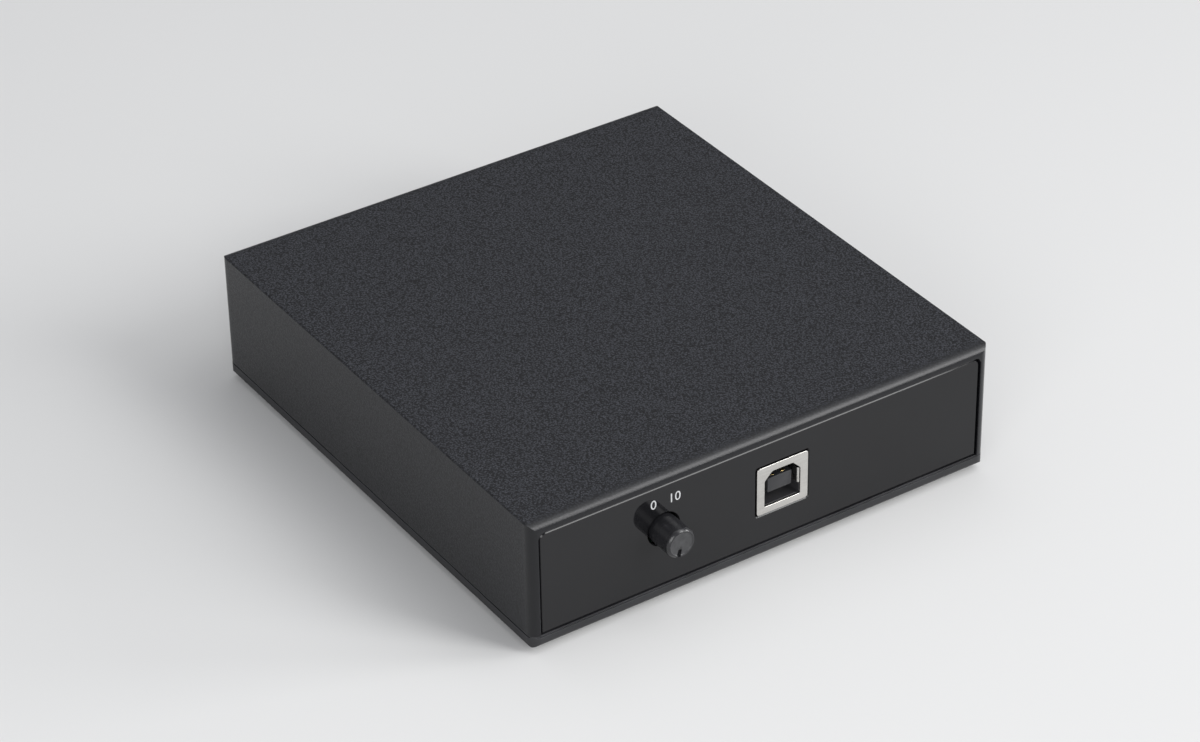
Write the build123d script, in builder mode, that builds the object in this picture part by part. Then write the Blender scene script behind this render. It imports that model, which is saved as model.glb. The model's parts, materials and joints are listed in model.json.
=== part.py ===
from build123d import *
import os

# A phono preamp in a small two-part case: gloss front panel with a level knob and a type B data socket,
# rear panel with two pairs of phono sockets, a ground post and a power socket, and one circuit board inside.
# Lengths are millimetres. X runs left to right seen from the front, Y from front to rear, Z up.
# The feet stand on Z = 0, and the origin is under the centre of the whole outline.

# ---------------------------------------------------------------- case
case_width = 107.3
case_depth = 116.2
case_height = 28.15  # underside of the tray to the top
side_wall = 1.6
top_wall = 1.8
end_radius = 1.8  # rounding along the top of the front and rear frames
corner_radius = 2.0  # rounding of the four upright corners
base_radius = 1.0  # rounding of the tray's lower front and rear edges
long_edge_radius = 0.35
tray_height = 2.4  # the seam between shell and tray
tray_floor = 1.7
tray_rim = 4.5  # full-height border of the tray, under the walls
seam_depth = 0.3  # shadow line cut round the tray's upper edge
foot_stand = 1.6  # how far the feet hold the tray off the table
rear_frame = 1.5  # wall round the rear window

# ---------------------------------------------------------------- panels and their windows
window_side = 2.0  # rim left and right of a panel
window_top = 2.3  # rim above a panel
window_radius = 1.5
window_bevel = 0.12
panel_gap = 0.35
panel_setback = 0.3
panel_thickness = 1.5
panel_bevel = 0.12
ledge_width = 2.0
ledge_thickness = 1.5
groove_gap = 0.1
rear_grip = 1.0  # how far the rear panel reaches behind its frame
rib_height = 3.0  # tray ribs that back the panels and locate the shell
rib_thickness = 1.2
rib_gap = 0.2
hole_gap = 0.2  # round a connector in its panel

# ---------------------------------------------------------------- case screws, corner posts and feet
post_half = 3.2  # half width of the square corner posts
post_from_side = 4.8
post_from_end = 8.2
post_pad_gap = 0.6
case_screw_radius = 1.45
case_screw_head_radius = 2.75
case_screw_head_height = 1.3
case_screw_length = 9.0
screw_gap = 0.08  # round a screw in the hole that it is driven into
clearance_gap = 0.25  # round a screw that passes freely
drill_allowance = 1.5  # depth of a screw hole beyond the screw's end
screw_sides = 8  # a driven shank and its hole are kept to flat faces
foot_width = 10.0
foot_angle = 20.0  # slope of a foot's sides
foot_from_side = 15.0
foot_from_end = 20.0

# ---------------------------------------------------------------- circuit board
board_top_height = 9.4  # above the tray's underside
board_thickness = 1.6
board_gap = 0.6
support_width = 5.0
support_neck = 2.4
support_barb = 3.2
support_barb_height = 1.4
barb_angle = 20.0
support_from_side = 9.0
support_from_end = 21.0
leg_gap = 0.1  # round a leg in its slot
leg_reach = 1.0  # how far a leg stands below the board
body_gap = 0.05  # under the parts that stand on the board

# ---------------------------------------------------------------- level control
knob_from_left = 30.0
knob_axis_height = 6.1  # above the board
knob_radius = 3.2
knob_projection = 6.0  # in front of the panel
knob_tail = 4.2  # from the panel's face back
knob_edge = 0.45
knob_hole_gap = 0.35
notch_width = 0.85
notch_depth = 0.6
notch_start = 1.3
notch_angle = 15.0  # clockwise from straight down, at the low stop
shaft_radius = 2.0
shaft_flat = 1.45  # axis to the flat
shaft_grip = 6.5  # length of shaft inside the knob
bore_gap = 0.03
running_gap = 0.05
pot_width = 9.8
pot_depth = 5.2
pot_from_panel = 6.2  # panel's face to the housing
pot_corner = 2.0
pot_wall = 1.2
wiper_radius = 3.6
wiper_thickness = 1.2
wiper_gap = 0.35
wiper_sides = 8
pot_cover_thickness = 0.5
pot_cover_window = 5.6
pot_tab_height = 4.9
pot_tab_length = 2.6  # how far the cover's tabs reach along the housing
leg_width = 1.0
leg_thickness = 0.5
pin_pitch = 2.5
pin_width = 0.8
pin_tail = 3.5

# ---------------------------------------------------------------- data socket, type B
usb_from_left = 57.55
usb_width = 12.0
usb_height = 10.9
usb_length = 16.0
usb_proud = 0.1  # in front of the panel
usb_sheet = 0.4
usb_mouth_width = 8.45
usb_mouth_height = 7.78
usb_mouth_corner = 1.8
usb_cavity_depth = 9.0
usb_tongue_width = 5.6
usb_tongue_height = 3.18
usb_tongue_setback = 1.0
usb_contact_width = 1.0
usb_contact_thickness = 0.3
usb_contact_pitch = 2.5
usb_contact_setback = 0.7
usb_spring_height = 3.4
usb_spring_length = 5.5
usb_spring_lean = 0.35
usb_shell_radius = 0.6
usb_leg_from_front = 11.2
usb_leg_root = 2.7  # socket's axis down to the root of its legs

# ---------------------------------------------------------------- phono sockets
jacks_x = 0.25  # middle of the row of four
jack_pitch = 14.0
jack_axis_height = 7.9  # above the board
jack_block_width = 26.0
jack_block_gap = 2.5
jack_block_rise = 5.4  # block above the socket axis
jack_block_depth = 10.5
jack_block_edge = 0.6
jack_waist_width = 3.0
jack_waist_depth = 6.0
barrel_radius = 4.15
barrel_bore = 3.55
barrel_projection = 9.3
core_recess = 0.6  # core's end inside its barrel
core_bore = 2.15  # hole for the plug's centre pin, axis to its flat sides
core_sides = 8
contact_grip = 1.6  # axis to the springs' inner faces
contact_thickness = 0.3
contact_width = 1.6
contact_setback = 0.8

# ---------------------------------------------------------------- power socket
power_gap = 3.0  # between the power socket and the output block
power_width = 9.0
power_length = 13.5
power_axis_height = 6.4
power_rise = 4.6
power_collar_radius = 4.4
power_collar_projection = 0.4
power_bore = 3.15
power_bore_depth = 9.5
power_pin_radius = 1.0
power_pin_setback = 0.6
power_spring_width = 1.6
power_spring_thickness = 0.3
power_spring_length = 4.75

# ---------------------------------------------------------------- ground post
ground_gap = 3.5  # between the clamp washer and the input block
ground_axis_height = 6.6
stud_radius = 1.95
shoulder_radius = 4.4  # across the corners of its hexagon
shoulder_thickness = 1.5
stud_tail = 4.0
seat_gap = 0.1
washer_radius = 4.5
washer_thickness = 0.8
nut_radius = 4.9
nut_length = 6.0
nut_neck_radius = 3.6
nut_neck_length = 1.2
nut_flutes = 12
flute_size = 0.6
nut_travel = 2.8  # four turns of a 0.7 mm thread
thread_end = 0.5  # stud beyond the nut when it is open all the way
lock_nut_radius = 3.9
lock_nut_thickness = 2.2
strap_width = 8.0
strap_thickness = 0.4
strap_foot = 3.0

# ---------------------------------------------------------------- parts on the board
rectifier_from_left = 20.65
rectifier_from_rear = 22.5
rectifier_size = 8.5
rectifier_height = 6.0
rectifier_corner = 2.0
can_radius = 5.0
can_height = 12.5
can_from_left = 34.65
can_from_rear = 29.0
can_pitch = 11.5
coupling_from_left = 79.65
coupling_from_rear = 30.0
coupling_length = 10.0
coupling_width = 5.0
coupling_height = 10.0
coupling_pitch = 7.5
film_from_left = 57.65
film_from_rear = 31.0
film_length = 7.2
film_width = 3.5
film_height = 7.5
film_pitch_x = 10.5
film_pitch_y = 7.0
film_edge = 0.4
regulator_from_left = 10.65
regulator_from_rear = 54.0
regulator_pitch = 14.0
regulator_body_width = 10.0
regulator_body_height = 8.0
regulator_body_thickness = 4.4
regulator_lift = 2.0
regulator_tab_thickness = 1.3
regulator_tab_rise = 2.5
regulator_lead_width = 0.8
regulator_lead_thickness = 0.5
regulator_lead_pitch = 2.54
heatsink_length = 30.0
heatsink_height = 12.0
heatsink_back = 1.5
heatsink_fin_length = 3.0
heatsink_fin_thickness = 1.0
heatsink_fin_count = 7
choke_from_left = 20.65
choke_from_rear = 36.0
choke_length = 12.0
choke_width = 8.0
choke_height = 8.5
choke_waist = 1.2  # depth of the groove down each long side
choke_groove = 4.0
chip_lead_width = 0.4
chip_lead_thickness = 0.2
chip_lead_reach = 1.0
op_amp_from_left = 58.65
op_amp_from_rear = 50.0
op_amp_pitch = 13.0
op_amp_width = 3.9
op_amp_length = 4.9
op_amp_height = 1.6
op_amp_lead_pitch = 1.27
op_amp_lead_count = 4
transistor_from_left = 79.65
transistor_from_rear = 44.0
transistor_pitch = 7.0
transistor_length = 2.9
transistor_width = 1.3
transistor_height = 1.1
converter_from_left = 73.65
converter_from_front = 36.0
converter_width = 5.3
converter_length = 7.2
converter_height = 1.8
converter_lead_pitch = 1.3
converter_lead_count = 5
usb_chip_from_front = 31.0
usb_chip_width = 7.5
usb_chip_length = 10.2
usb_chip_height = 1.9
usb_chip_lead_pitch = 1.3
usb_chip_lead_count = 7
crystal_from_usb = 13.9
crystal_from_front = 28.0
crystal_length = 7.0
crystal_width = 5.0
crystal_height = 1.6
resistor_length = 2.0
resistor_width = 1.25
resistor_height = 0.55
resistor_from_left = 85.65
resistor_from_front = 45.0
resistor_pitch_x = 4.0
resistor_pitch_y = 3.0
resistor_columns = 4
resistor_rows = 3
capacitor_length = 2.0
capacitor_width = 1.25
capacitor_height = 0.9
capacitor_from_left = 45.65
capacitor_from_front = 45.0
capacitor_pitch_x = 5.0
capacitor_pitch_y = 3.2
capacitor_columns = 4
capacitor_rows = 2

# ---------------------------------------------------------------- places worked out from the sizes above
knob_reach = knob_projection - panel_setback
stud_projection = shoulder_thickness + seat_gap + washer_thickness + nut_length + nut_travel + thread_end
stud_reach = stud_projection - rear_frame - groove_gap
front_y = knob_reach - (knob_reach + case_depth + stud_reach) / 2
rear_y = front_y + case_depth
middle_y = (front_y + rear_y) / 2
base_z = foot_stand
seam_z = base_z + tray_height
floor_z = base_z + tray_floor
top_z = base_z + case_height
ceiling_z = top_z - top_wall
middle_z = (base_z + top_z) / 2

recess_depth_y = panel_setback + panel_thickness
end_wall = recess_depth_y + ledge_thickness
window_width = case_width - 2 * window_side
window_top_z = top_z - window_top
panel_front_y = front_y + panel_setback
panel_rear_y = rear_y - rear_frame - groove_gap
inner_panel_y = panel_rear_y - panel_thickness  # inner face of the rear panel
rear_wall_depth = rear_frame + panel_thickness + 2 * groove_gap + ledge_thickness

board_z = base_z + board_top_height
board_under_z = board_z - board_thickness
board_width = case_width - 2 * (side_wall + board_gap)
board_front_y = front_y + end_wall + board_gap
board_rear_y = rear_y - rear_wall_depth - board_gap
board_depth = board_rear_y - board_front_y
board_middle_y = (board_front_y + board_rear_y) / 2

post_places = [
    (x, y)
    for x in (post_from_side - case_width / 2, case_width / 2 - post_from_side)
    for y in (front_y + post_from_end, rear_y - post_from_end)
]
foot_places = [
    (x, y)
    for x in (foot_from_side - case_width / 2, case_width / 2 - foot_from_side)
    for y in (front_y + foot_from_end, rear_y - foot_from_end)
]
support_places = [
    (x, y)
    for x in (support_from_side - case_width / 2, case_width / 2 - support_from_side)
    for y in (front_y + support_from_end, rear_y - support_from_end)
]

left_x = -case_width / 2
knob_x = left_x + knob_from_left
usb_x = left_x + usb_from_left
pair_offset = (jack_block_width + jack_block_gap) / 2
output_pair_x = jacks_x - pair_offset
input_pair_x = jacks_x + pair_offset
power_x = output_pair_x - jack_block_width / 2 - power_gap - power_width / 2
ground_x = input_pair_x + jack_block_width / 2 + ground_gap + washer_radius

knob_z = board_z + knob_axis_height
usb_z = board_z + usb_height / 2
jack_z = board_z + jack_axis_height
power_z = board_z + power_axis_height
ground_z = board_z + ground_axis_height
output_jacks = [output_pair_x - jack_pitch / 2, output_pair_x + jack_pitch / 2]
input_jacks = [input_pair_x - jack_pitch / 2, input_pair_x + jack_pitch / 2]
core_radius = barrel_bore - body_gap
washer_y = panel_rear_y + shoulder_thickness + seat_gap
nut_y = washer_y + washer_thickness


def facing(y):
    """Plane across the case at depth y, drawn as seen from the front: local x is X, local y is Z."""
    return Plane(origin=(0, y, 0), x_dir=(1, 0, 0), z_dir=(0, -1, 0))


def level(z):
    """Horizontal plane at height z."""
    return Plane.XY.offset(z)


def outer_form():
    """Closed case: the rounded side profile crossed with the rounded plan and the front profile."""
    with BuildPart() as form:
        with BuildSketch(Plane.YZ.offset(-case_width / 2)) as side:
            with Locations((middle_y, middle_z)):
                Rectangle(case_depth, case_height)
            fillet(side.vertices().group_by(Axis.Y)[-1], end_radius)
            fillet(side.vertices().group_by(Axis.Y)[0], base_radius)
        extrude(amount=case_width)
        with BuildSketch(level(base_z)):
            with Locations((0, middle_y)):
                RectangleRounded(case_width, case_depth, corner_radius)
        extrude(amount=case_height, mode=Mode.INTERSECT)
        with BuildSketch(facing(front_y)) as front:
            with Locations((0, middle_z)):
                Rectangle(case_width, case_height)
            fillet(front.vertices().group_by(Axis.Z)[-1], long_edge_radius)
        extrude(amount=-case_depth, mode=Mode.INTERSECT)
    return form.part


def window_outline(margin, low, radius=0.0):
    """Outline of a panel window, drawn facing: a margin inside the window's edge, down to height low."""
    with BuildSketch(mode=Mode.PRIVATE) as outline:
        with Locations((0, low)):
            Rectangle(window_width - 2 * margin, window_top_z - margin - low, align=(Align.CENTER, Align.MIN))
        if radius > 0:
            fillet(outline.vertices().group_by(Axis.Y)[-1], radius)
    return outline.sketch


# ---------------------------------------------------------------- upper shell
case_form = outer_form()
ledge_window = window_outline(ledge_width, seam_z)
groove = window_outline(-rear_grip - groove_gap, seam_z)
cavity_front_y = front_y + end_wall
cavity_rear_y = rear_y - rear_wall_depth

with BuildPart() as upper_shell:
    add(case_form)
    split(bisect_by=level(seam_z), keep=Keep.TOP)
    with BuildSketch(level(seam_z)):
        with Locations((0, (cavity_front_y + cavity_rear_y) / 2)):
            Rectangle(case_width - 2 * side_wall, cavity_rear_y - cavity_front_y)
    extrude(amount=ceiling_z - seam_z, mode=Mode.SUBTRACT)
    # front: recess for the panel, then the opening behind its ledge
    with BuildSketch(facing(front_y)):
        add(window_outline(0, seam_z, window_radius))
    extrude(amount=-recess_depth_y, mode=Mode.SUBTRACT)
    with BuildSketch(facing(cavity_front_y)):
        add(ledge_window)
    extrude(amount=end_wall, mode=Mode.SUBTRACT)
    # rear: window, groove for the panel, then the opening between its ribs
    with BuildSketch(facing(rear_y)):
        add(window_outline(0, seam_z))
    extrude(amount=rear_frame, mode=Mode.SUBTRACT)
    with BuildSketch(facing(rear_y - rear_frame)):
        add(groove)
    extrude(amount=panel_thickness + 2 * groove_gap, mode=Mode.SUBTRACT)
    with BuildSketch(facing(rear_y)):
        add(ledge_window)
    extrude(amount=rear_wall_depth, mode=Mode.SUBTRACT)
    # fine bevel round the front window
    rim = upper_shell.edges().filter_by_position(Axis.Y, front_y - window_bevel, front_y + window_bevel)
    rim = rim.filter_by_position(Axis.X, -window_width / 2 - window_bevel, window_width / 2 + window_bevel)
    rim = rim.filter_by_position(Axis.Z, seam_z + window_bevel, window_top_z + window_bevel)
    chamfer(rim, window_bevel)
    # corner posts with their screw holes
    with BuildSketch(level(seam_z)):
        with Locations(*post_places):
            Rectangle(2 * post_half, 2 * post_half)
    extrude(amount=ceiling_z - seam_z)
    with BuildSketch(level(seam_z)):
        with Locations(*post_places):
            RegularPolygon(case_screw_radius + screw_gap, screw_sides)
    extrude(amount=case_screw_length + drill_allowance - tray_height, mode=Mode.SUBTRACT)

# ---------------------------------------------------------------- base tray
post_pad_x = post_from_side + post_half + post_pad_gap
post_pad_y = post_from_end + post_half + post_pad_gap

with BuildPart() as base_tray:
    add(case_form)
    split(bisect_by=level(seam_z), keep=Keep.BOTTOM)
    with BuildSketch(level(seam_z)):
        with Locations((0, middle_y)):
            Rectangle(case_width, case_depth)
            Rectangle(case_width - 2 * seam_depth, case_depth - 2 * seam_depth, mode=Mode.SUBTRACT)
    extrude(amount=-seam_depth, mode=Mode.SUBTRACT)
    # pocket that leaves a rim and four corner pads
    with BuildSketch(level(seam_z)):
        with Locations((0, middle_y)):
            Rectangle(case_width - 2 * tray_rim, case_depth - 2 * post_pad_y)
            Rectangle(case_width - 2 * post_pad_x, case_depth - 2 * (end_wall + tray_rim))
    extrude(amount=floor_z - seam_z, mode=Mode.SUBTRACT)
    # ribs inside the side walls and behind both panels
    rib_x = case_width / 2 - side_wall - rib_gap - rib_thickness / 2
    back_rib_width = window_width - 2 * (ledge_width + rib_gap)
    with BuildSketch(level(seam_z)):
        with Locations((-rib_x, middle_y), (rib_x, middle_y)):
            Rectangle(rib_thickness, case_depth - 2 * post_pad_y)
        with Locations(
            (0, front_y + recess_depth_y + groove_gap + rib_thickness / 2),
            (0, inner_panel_y - groove_gap - rib_thickness / 2),
        ):
            Rectangle(back_rib_width, rib_thickness)
    extrude(amount=rib_height)
    # screw holes with a counterbore for the head
    with BuildSketch(level(base_z)):
        with Locations(*post_places):
            RegularPolygon(case_screw_radius + clearance_gap, screw_sides)
    extrude(amount=tray_height, mode=Mode.SUBTRACT)
    with BuildSketch(level(base_z)):
        with Locations(*post_places):
            Circle(case_screw_head_radius + clearance_gap)
    extrude(amount=case_screw_head_height, mode=Mode.SUBTRACT)

# ---------------------------------------------------------------- feet and case screws
with BuildPart() as rubber_feet:
    with BuildSketch(level(base_z)):
        with Locations(*foot_places):
            Rectangle(foot_width, foot_width)
    extrude(amount=-foot_stand, taper=foot_angle)

with BuildPart() as case_screws:
    with BuildSketch(level(base_z)):
        with Locations(*post_places):
            Circle(case_screw_head_radius)
    extrude(amount=case_screw_head_height)
    with BuildSketch(level(base_z + case_screw_head_height)):
        with Locations(*post_places):
            RegularPolygon(case_screw_radius, screw_sides)
    extrude(amount=case_screw_length - case_screw_head_height)

# ---------------------------------------------------------------- panels
with BuildPart() as front_panel:
    with BuildSketch(facing(panel_front_y)):
        add(window_outline(panel_gap, seam_z + panel_gap, window_radius - panel_gap))
    extrude(amount=-panel_thickness)
    chamfer(front_panel.edges().group_by(Axis.Y)[0], panel_bevel)
    with BuildSketch(facing(panel_front_y)):
        with Locations((knob_x, knob_z)):
            Circle(knob_radius + knob_hole_gap)
        with Locations((usb_x, usb_z)):
            Rectangle(usb_width + 2 * hole_gap, usb_height + 2 * hole_gap)
    extrude(amount=-panel_thickness, mode=Mode.SUBTRACT)

with BuildPart() as rear_panel:
    with BuildSketch(facing(panel_rear_y)):
        add(window_outline(-rear_grip, seam_z))
    extrude(amount=panel_thickness)
    with BuildSketch(facing(panel_rear_y)):
        with Locations(*[(x, jack_z) for x in output_jacks + input_jacks]):
            Circle(core_radius + hole_gap)
        with Locations((power_x, power_z)):
            Circle(power_collar_radius + hole_gap)
        with Locations((ground_x, ground_z)):
            Circle(stud_radius + clearance_gap)
    extrude(amount=panel_thickness, mode=Mode.SUBTRACT)

# ---------------------------------------------------------------- level control
knob_front_y = panel_front_y - knob_projection
knob_rear_y = panel_front_y + knob_tail
shaft_front_y = knob_rear_y - shaft_grip
pot_front_y = panel_front_y + pot_from_panel
cavity_y = pot_front_y + pot_wall
cavity_depth = wiper_thickness + 2 * wiper_gap
wiper_y = cavity_y + wiper_gap


def shaft_section(radius, flat):
    """Round section with one flat below, centred on the level control's axis, drawn facing."""
    with BuildSketch(mode=Mode.PRIVATE) as section:
        with Locations((knob_x, knob_z)):
            Circle(radius)
        with Locations((knob_x, knob_z - flat)):
            Rectangle(3 * radius, radius, align=(Align.CENTER, Align.MAX), mode=Mode.SUBTRACT)
    return section.sketch


with BuildPart() as level_knob:
    with BuildSketch(facing(knob_rear_y)):
        with Locations((knob_x, knob_z)):
            Circle(knob_radius)
    extrude(amount=knob_rear_y - knob_front_y)
    chamfer(level_knob.edges().group_by(Axis.Y)[0], knob_edge)
    with BuildSketch(facing(knob_front_y).move(Location((knob_x, 0, knob_z))).rotated((0, 0, -notch_angle))):
        with Locations((0, -notch_start)):
            Rectangle(notch_width, knob_radius, align=(Align.CENTER, Align.MAX))
    extrude(amount=-notch_depth, mode=Mode.SUBTRACT)
    with BuildSketch(facing(knob_rear_y)):
        add(shaft_section(shaft_radius + bore_gap, shaft_flat + bore_gap))
    extrude(amount=shaft_grip, mode=Mode.SUBTRACT)

with BuildPart() as level_shaft:
    with BuildSketch(facing(shaft_front_y)):
        add(shaft_section(shaft_radius, shaft_flat))
    extrude(amount=shaft_front_y - knob_rear_y)
    with BuildSketch(facing(knob_rear_y)):
        with Locations((knob_x, knob_z)):
            Circle(shaft_radius)
    extrude(amount=knob_rear_y - wiper_y)

with BuildPart() as level_wiper:
    with BuildSketch(facing(wiper_y)):
        with Locations((knob_x, knob_z)):
            RegularPolygon(wiper_radius, wiper_sides)
    extrude(amount=-wiper_thickness)

pot_rear_y = pot_front_y + pot_depth
with BuildPart() as level_pot_housing:
    with BuildSketch(facing(pot_front_y)):
        with Locations((knob_x, board_z + body_gap)):
            Rectangle(
                pot_width,
                knob_axis_height + pot_width / 2 - body_gap,
                align=(Align.CENTER, Align.MIN),
            )
    extrude(amount=-pot_depth)
    chamfer(level_pot_housing.edges().filter_by(Axis.Y).group_by(Axis.Z)[-1], pot_corner)
    with BuildSketch(facing(pot_front_y)):
        with Locations((knob_x, knob_z)):
            Circle(shaft_radius + running_gap)
    extrude(amount=-pot_wall, mode=Mode.SUBTRACT)
    with BuildSketch(facing(cavity_y)):
        with Locations((knob_x, knob_z)):
            Circle(wiper_radius + wiper_gap)
    extrude(amount=-cavity_depth, mode=Mode.SUBTRACT)

pot_leg_x = pot_width / 2 + leg_thickness / 2
with BuildPart() as level_pot_cover:
    with BuildSketch(facing(pot_front_y)):
        with Locations((knob_x, knob_z)):
            Rectangle(pot_width + 2 * leg_thickness, pot_tab_height)
            Rectangle(pot_width - 2 * pot_corner, pot_width)
            Rectangle(pot_cover_window, pot_cover_window, mode=Mode.SUBTRACT)
    extrude(amount=pot_cover_thickness)
    with BuildSketch(facing(pot_front_y)):
        with Locations(*[(knob_x + side * pot_leg_x, knob_z) for side in (-1, 1)]):
            Rectangle(leg_thickness, pot_tab_height)
    extrude(amount=-pot_tab_length)
    with BuildSketch(level(knob_z)):
        with Locations(*[(knob_x + side * pot_leg_x, pot_front_y + leg_width / 2) for side in (-1, 1)]):
            Rectangle(leg_thickness, leg_width)
    extrude(amount=board_under_z - leg_reach - knob_z)

pin_places = [(knob_x + step * pin_pitch, pot_rear_y) for step in (-1, 0, 1)]
with BuildPart() as level_pot_pins:
    with BuildSketch(Plane.XY.offset(board_under_z - leg_reach)):
        with Locations(*pin_places):
            Rectangle(pin_width, leg_thickness, align=(Align.CENTER, Align.MIN))
    extrude(amount=board_z + pin_tail - board_under_z + leg_reach)

# ---------------------------------------------------------------- data socket
usb_front_y = panel_front_y - usb_proud
usb_rear_y = usb_front_y + usb_length
usb_cavity_y = usb_front_y + usb_cavity_depth


def usb_mouth(margin=0.0):
    """Opening of the data socket with its two cut upper corners, drawn facing."""
    half_width = usb_mouth_width / 2 + margin
    half_height = usb_mouth_height / 2 + margin
    with BuildSketch(mode=Mode.PRIVATE) as mouth:
        with BuildLine():
            Polyline(
                (usb_x - half_width, usb_z - half_height),
                (usb_x + half_width, usb_z - half_height),
                (usb_x + half_width, usb_z + half_height - usb_mouth_corner),
                (usb_x + half_width - usb_mouth_corner, usb_z + half_height),
                (usb_x - half_width + usb_mouth_corner, usb_z + half_height),
                (usb_x - half_width, usb_z + half_height - usb_mouth_corner),
                close=True,
            )
        make_face()
    return mouth.sketch


usb_leg_places = [
    (usb_x + side * (usb_width - usb_sheet) / 2, usb_front_y + usb_leg_from_front) for side in (-1, 1)
]
with BuildPart() as usb_shell:
    with BuildSketch(facing(usb_front_y)):
        with Locations((usb_x, usb_z)):
            RectangleRounded(usb_width, usb_height, usb_shell_radius)
    extrude(amount=-usb_length)
    with BuildSketch(facing(usb_rear_y)):
        with Locations((usb_x, usb_z)):
            Rectangle(usb_width - 2 * usb_sheet, usb_height - 2 * usb_sheet)
    extrude(amount=usb_length - usb_sheet, mode=Mode.SUBTRACT)
    with BuildSketch(facing(usb_front_y)):
        add(usb_mouth())
    extrude(amount=-usb_sheet, mode=Mode.SUBTRACT)
    for side in (-1, 1):
        wall_x = usb_x + side * usb_mouth_width / 2
        lean_x = wall_x - side * usb_spring_lean
        with BuildSketch(level(usb_z - usb_spring_height / 2)):
            with BuildLine():
                Polyline(
                    (wall_x + side * usb_sheet, usb_front_y + usb_sheet / 2),
                    (wall_x, usb_front_y + usb_sheet / 2),
                    (lean_x, usb_front_y + usb_spring_length),
                    (lean_x + side * usb_sheet, usb_front_y + usb_spring_length),
                    close=True,
                )
            make_face()
        extrude(amount=usb_spring_height)
    with BuildSketch(level(usb_z - usb_leg_root)):
        with Locations(*usb_leg_places):
            Rectangle(usb_sheet, 2 * leg_width)
    extrude(amount=board_under_z - leg_reach - usb_z + usb_leg_root)

insulator_y = usb_front_y + usb_sheet + hole_gap
with BuildPart() as usb_insulator:
    with BuildSketch(facing(insulator_y)):
        with Locations((usb_x, usb_z)):
            Rectangle(usb_width - 2 * usb_sheet - 2 * body_gap, usb_height - 2 * usb_sheet - 2 * body_gap)
    extrude(amount=insulator_y - usb_rear_y)
    with BuildSketch(facing(insulator_y)):
        add(usb_mouth())
        with Locations((usb_x, usb_z)):
            Rectangle(
                usb_mouth_width + 2 * (usb_sheet + body_gap),
                usb_spring_height + 2 * clearance_gap,
            )
    extrude(amount=insulator_y - usb_cavity_y, mode=Mode.SUBTRACT)
    with BuildSketch(facing(usb_cavity_y)):
        with Locations((usb_x, usb_z)):
            Rectangle(usb_tongue_width, usb_tongue_height)
    extrude(amount=usb_cavity_depth - usb_tongue_setback)
    slot_z = usb_tongue_height / 2
    with BuildSketch(facing(usb_rear_y)):
        for side in (-1, 1):
            for step in (-0.5, 0.5):
                with Locations((usb_x + step * usb_contact_pitch, usb_z + side * slot_z)):
                    Rectangle(usb_contact_width, 2 * usb_contact_thickness)
    extrude(amount=usb_length - usb_tongue_setback - usb_contact_setback, mode=Mode.SUBTRACT)

usb_contact_y = usb_front_y + usb_tongue_setback + usb_contact_setback
with BuildPart() as usb_contacts:
    for side in (-1, 1):
        with BuildSketch(facing(usb_contact_y)):
            with Locations(*[(usb_x + step * usb_contact_pitch, usb_z + side * slot_z) for step in (-0.5, 0.5)]):
                Rectangle(
                    usb_contact_width,
                    usb_contact_thickness,
                    align=(Align.CENTER, Align.MAX if side > 0 else Align.MIN),
                )
        extrude(amount=usb_contact_y - usb_rear_y - (2 + side) * usb_contact_thickness)
        tail_y = usb_rear_y + (2 + side) * usb_contact_thickness
        with BuildSketch(level(board_under_z - leg_reach)):
            with Locations(*[(usb_x + step * usb_contact_pitch, tail_y) for step in (-0.5, 0.5)]):
                Rectangle(usb_contact_width, usb_contact_thickness)
        extrude(amount=usb_z + side * slot_z - board_under_z + leg_reach)

# ---------------------------------------------------------------- phono sockets
block_front_y = inner_panel_y - jack_block_depth
barrel_end_y = panel_rear_y + barrel_projection
core_end_y = barrel_end_y - core_recess


def jack_block(centre_x):
    """Moulded body that holds two sockets side by side against the rear panel."""
    with BuildPart() as block:
        with BuildSketch(facing(inner_panel_y)):
            with Locations((centre_x, board_z + body_gap)):
                Rectangle(
                    jack_block_width,
                    jack_axis_height + jack_block_rise - body_gap,
                    align=(Align.CENTER, Align.MIN),
                )
        extrude(amount=jack_block_depth)
        chamfer(block.edges().filter_by(Axis.Y).group_by(Axis.Z)[-1], jack_block_edge)
        with BuildSketch(level(jack_z + jack_block_rise)):
            with Locations((centre_x, inner_panel_y)):
                Rectangle(jack_waist_width, 2 * jack_waist_depth)
        extrude(amount=-jack_block_rise, mode=Mode.SUBTRACT)
    return block.part


def jack_barrels(places):
    """Two metal sleeves that stand on the rear panel's outer face."""
    with BuildPart() as sleeves:
        with BuildSketch(facing(barrel_end_y)):
            with Locations(*[(x, jack_z) for x in places]):
                Circle(barrel_radius)
                Circle(barrel_bore, mode=Mode.SUBTRACT)
        extrude(amount=barrel_projection)
    return sleeves.part


def jack_cores(places):
    """Two insulating cores on their block's face, inside the sleeves, each with its hole for the centre pin."""
    with BuildPart() as cores:
        with BuildSketch(facing(core_end_y)):
            with Locations(*[(x, jack_z) for x in places]):
                Circle(core_radius)
                RegularPolygon(
                    core_bore,
                    core_sides,
                    major_radius=False,
                    rotation=180 / core_sides,
                    mode=Mode.SUBTRACT,
                )
        extrude(amount=core_end_y - inner_panel_y)
    return cores.part


with BuildPart() as input_jack_block:
    add(jack_block(input_pair_x))

with BuildPart() as output_jack_block:
    add(jack_block(output_pair_x))

with BuildPart() as input_jack_barrels:
    add(jack_barrels(input_jacks))

with BuildPart() as output_jack_barrels:
    add(jack_barrels(output_jacks))

with BuildPart() as left_jack_insulators:
    add(jack_cores([output_jacks[0], input_jacks[0]]))

with BuildPart() as right_jack_insulators:
    add(jack_cores([output_jacks[1], input_jacks[1]]))

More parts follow.
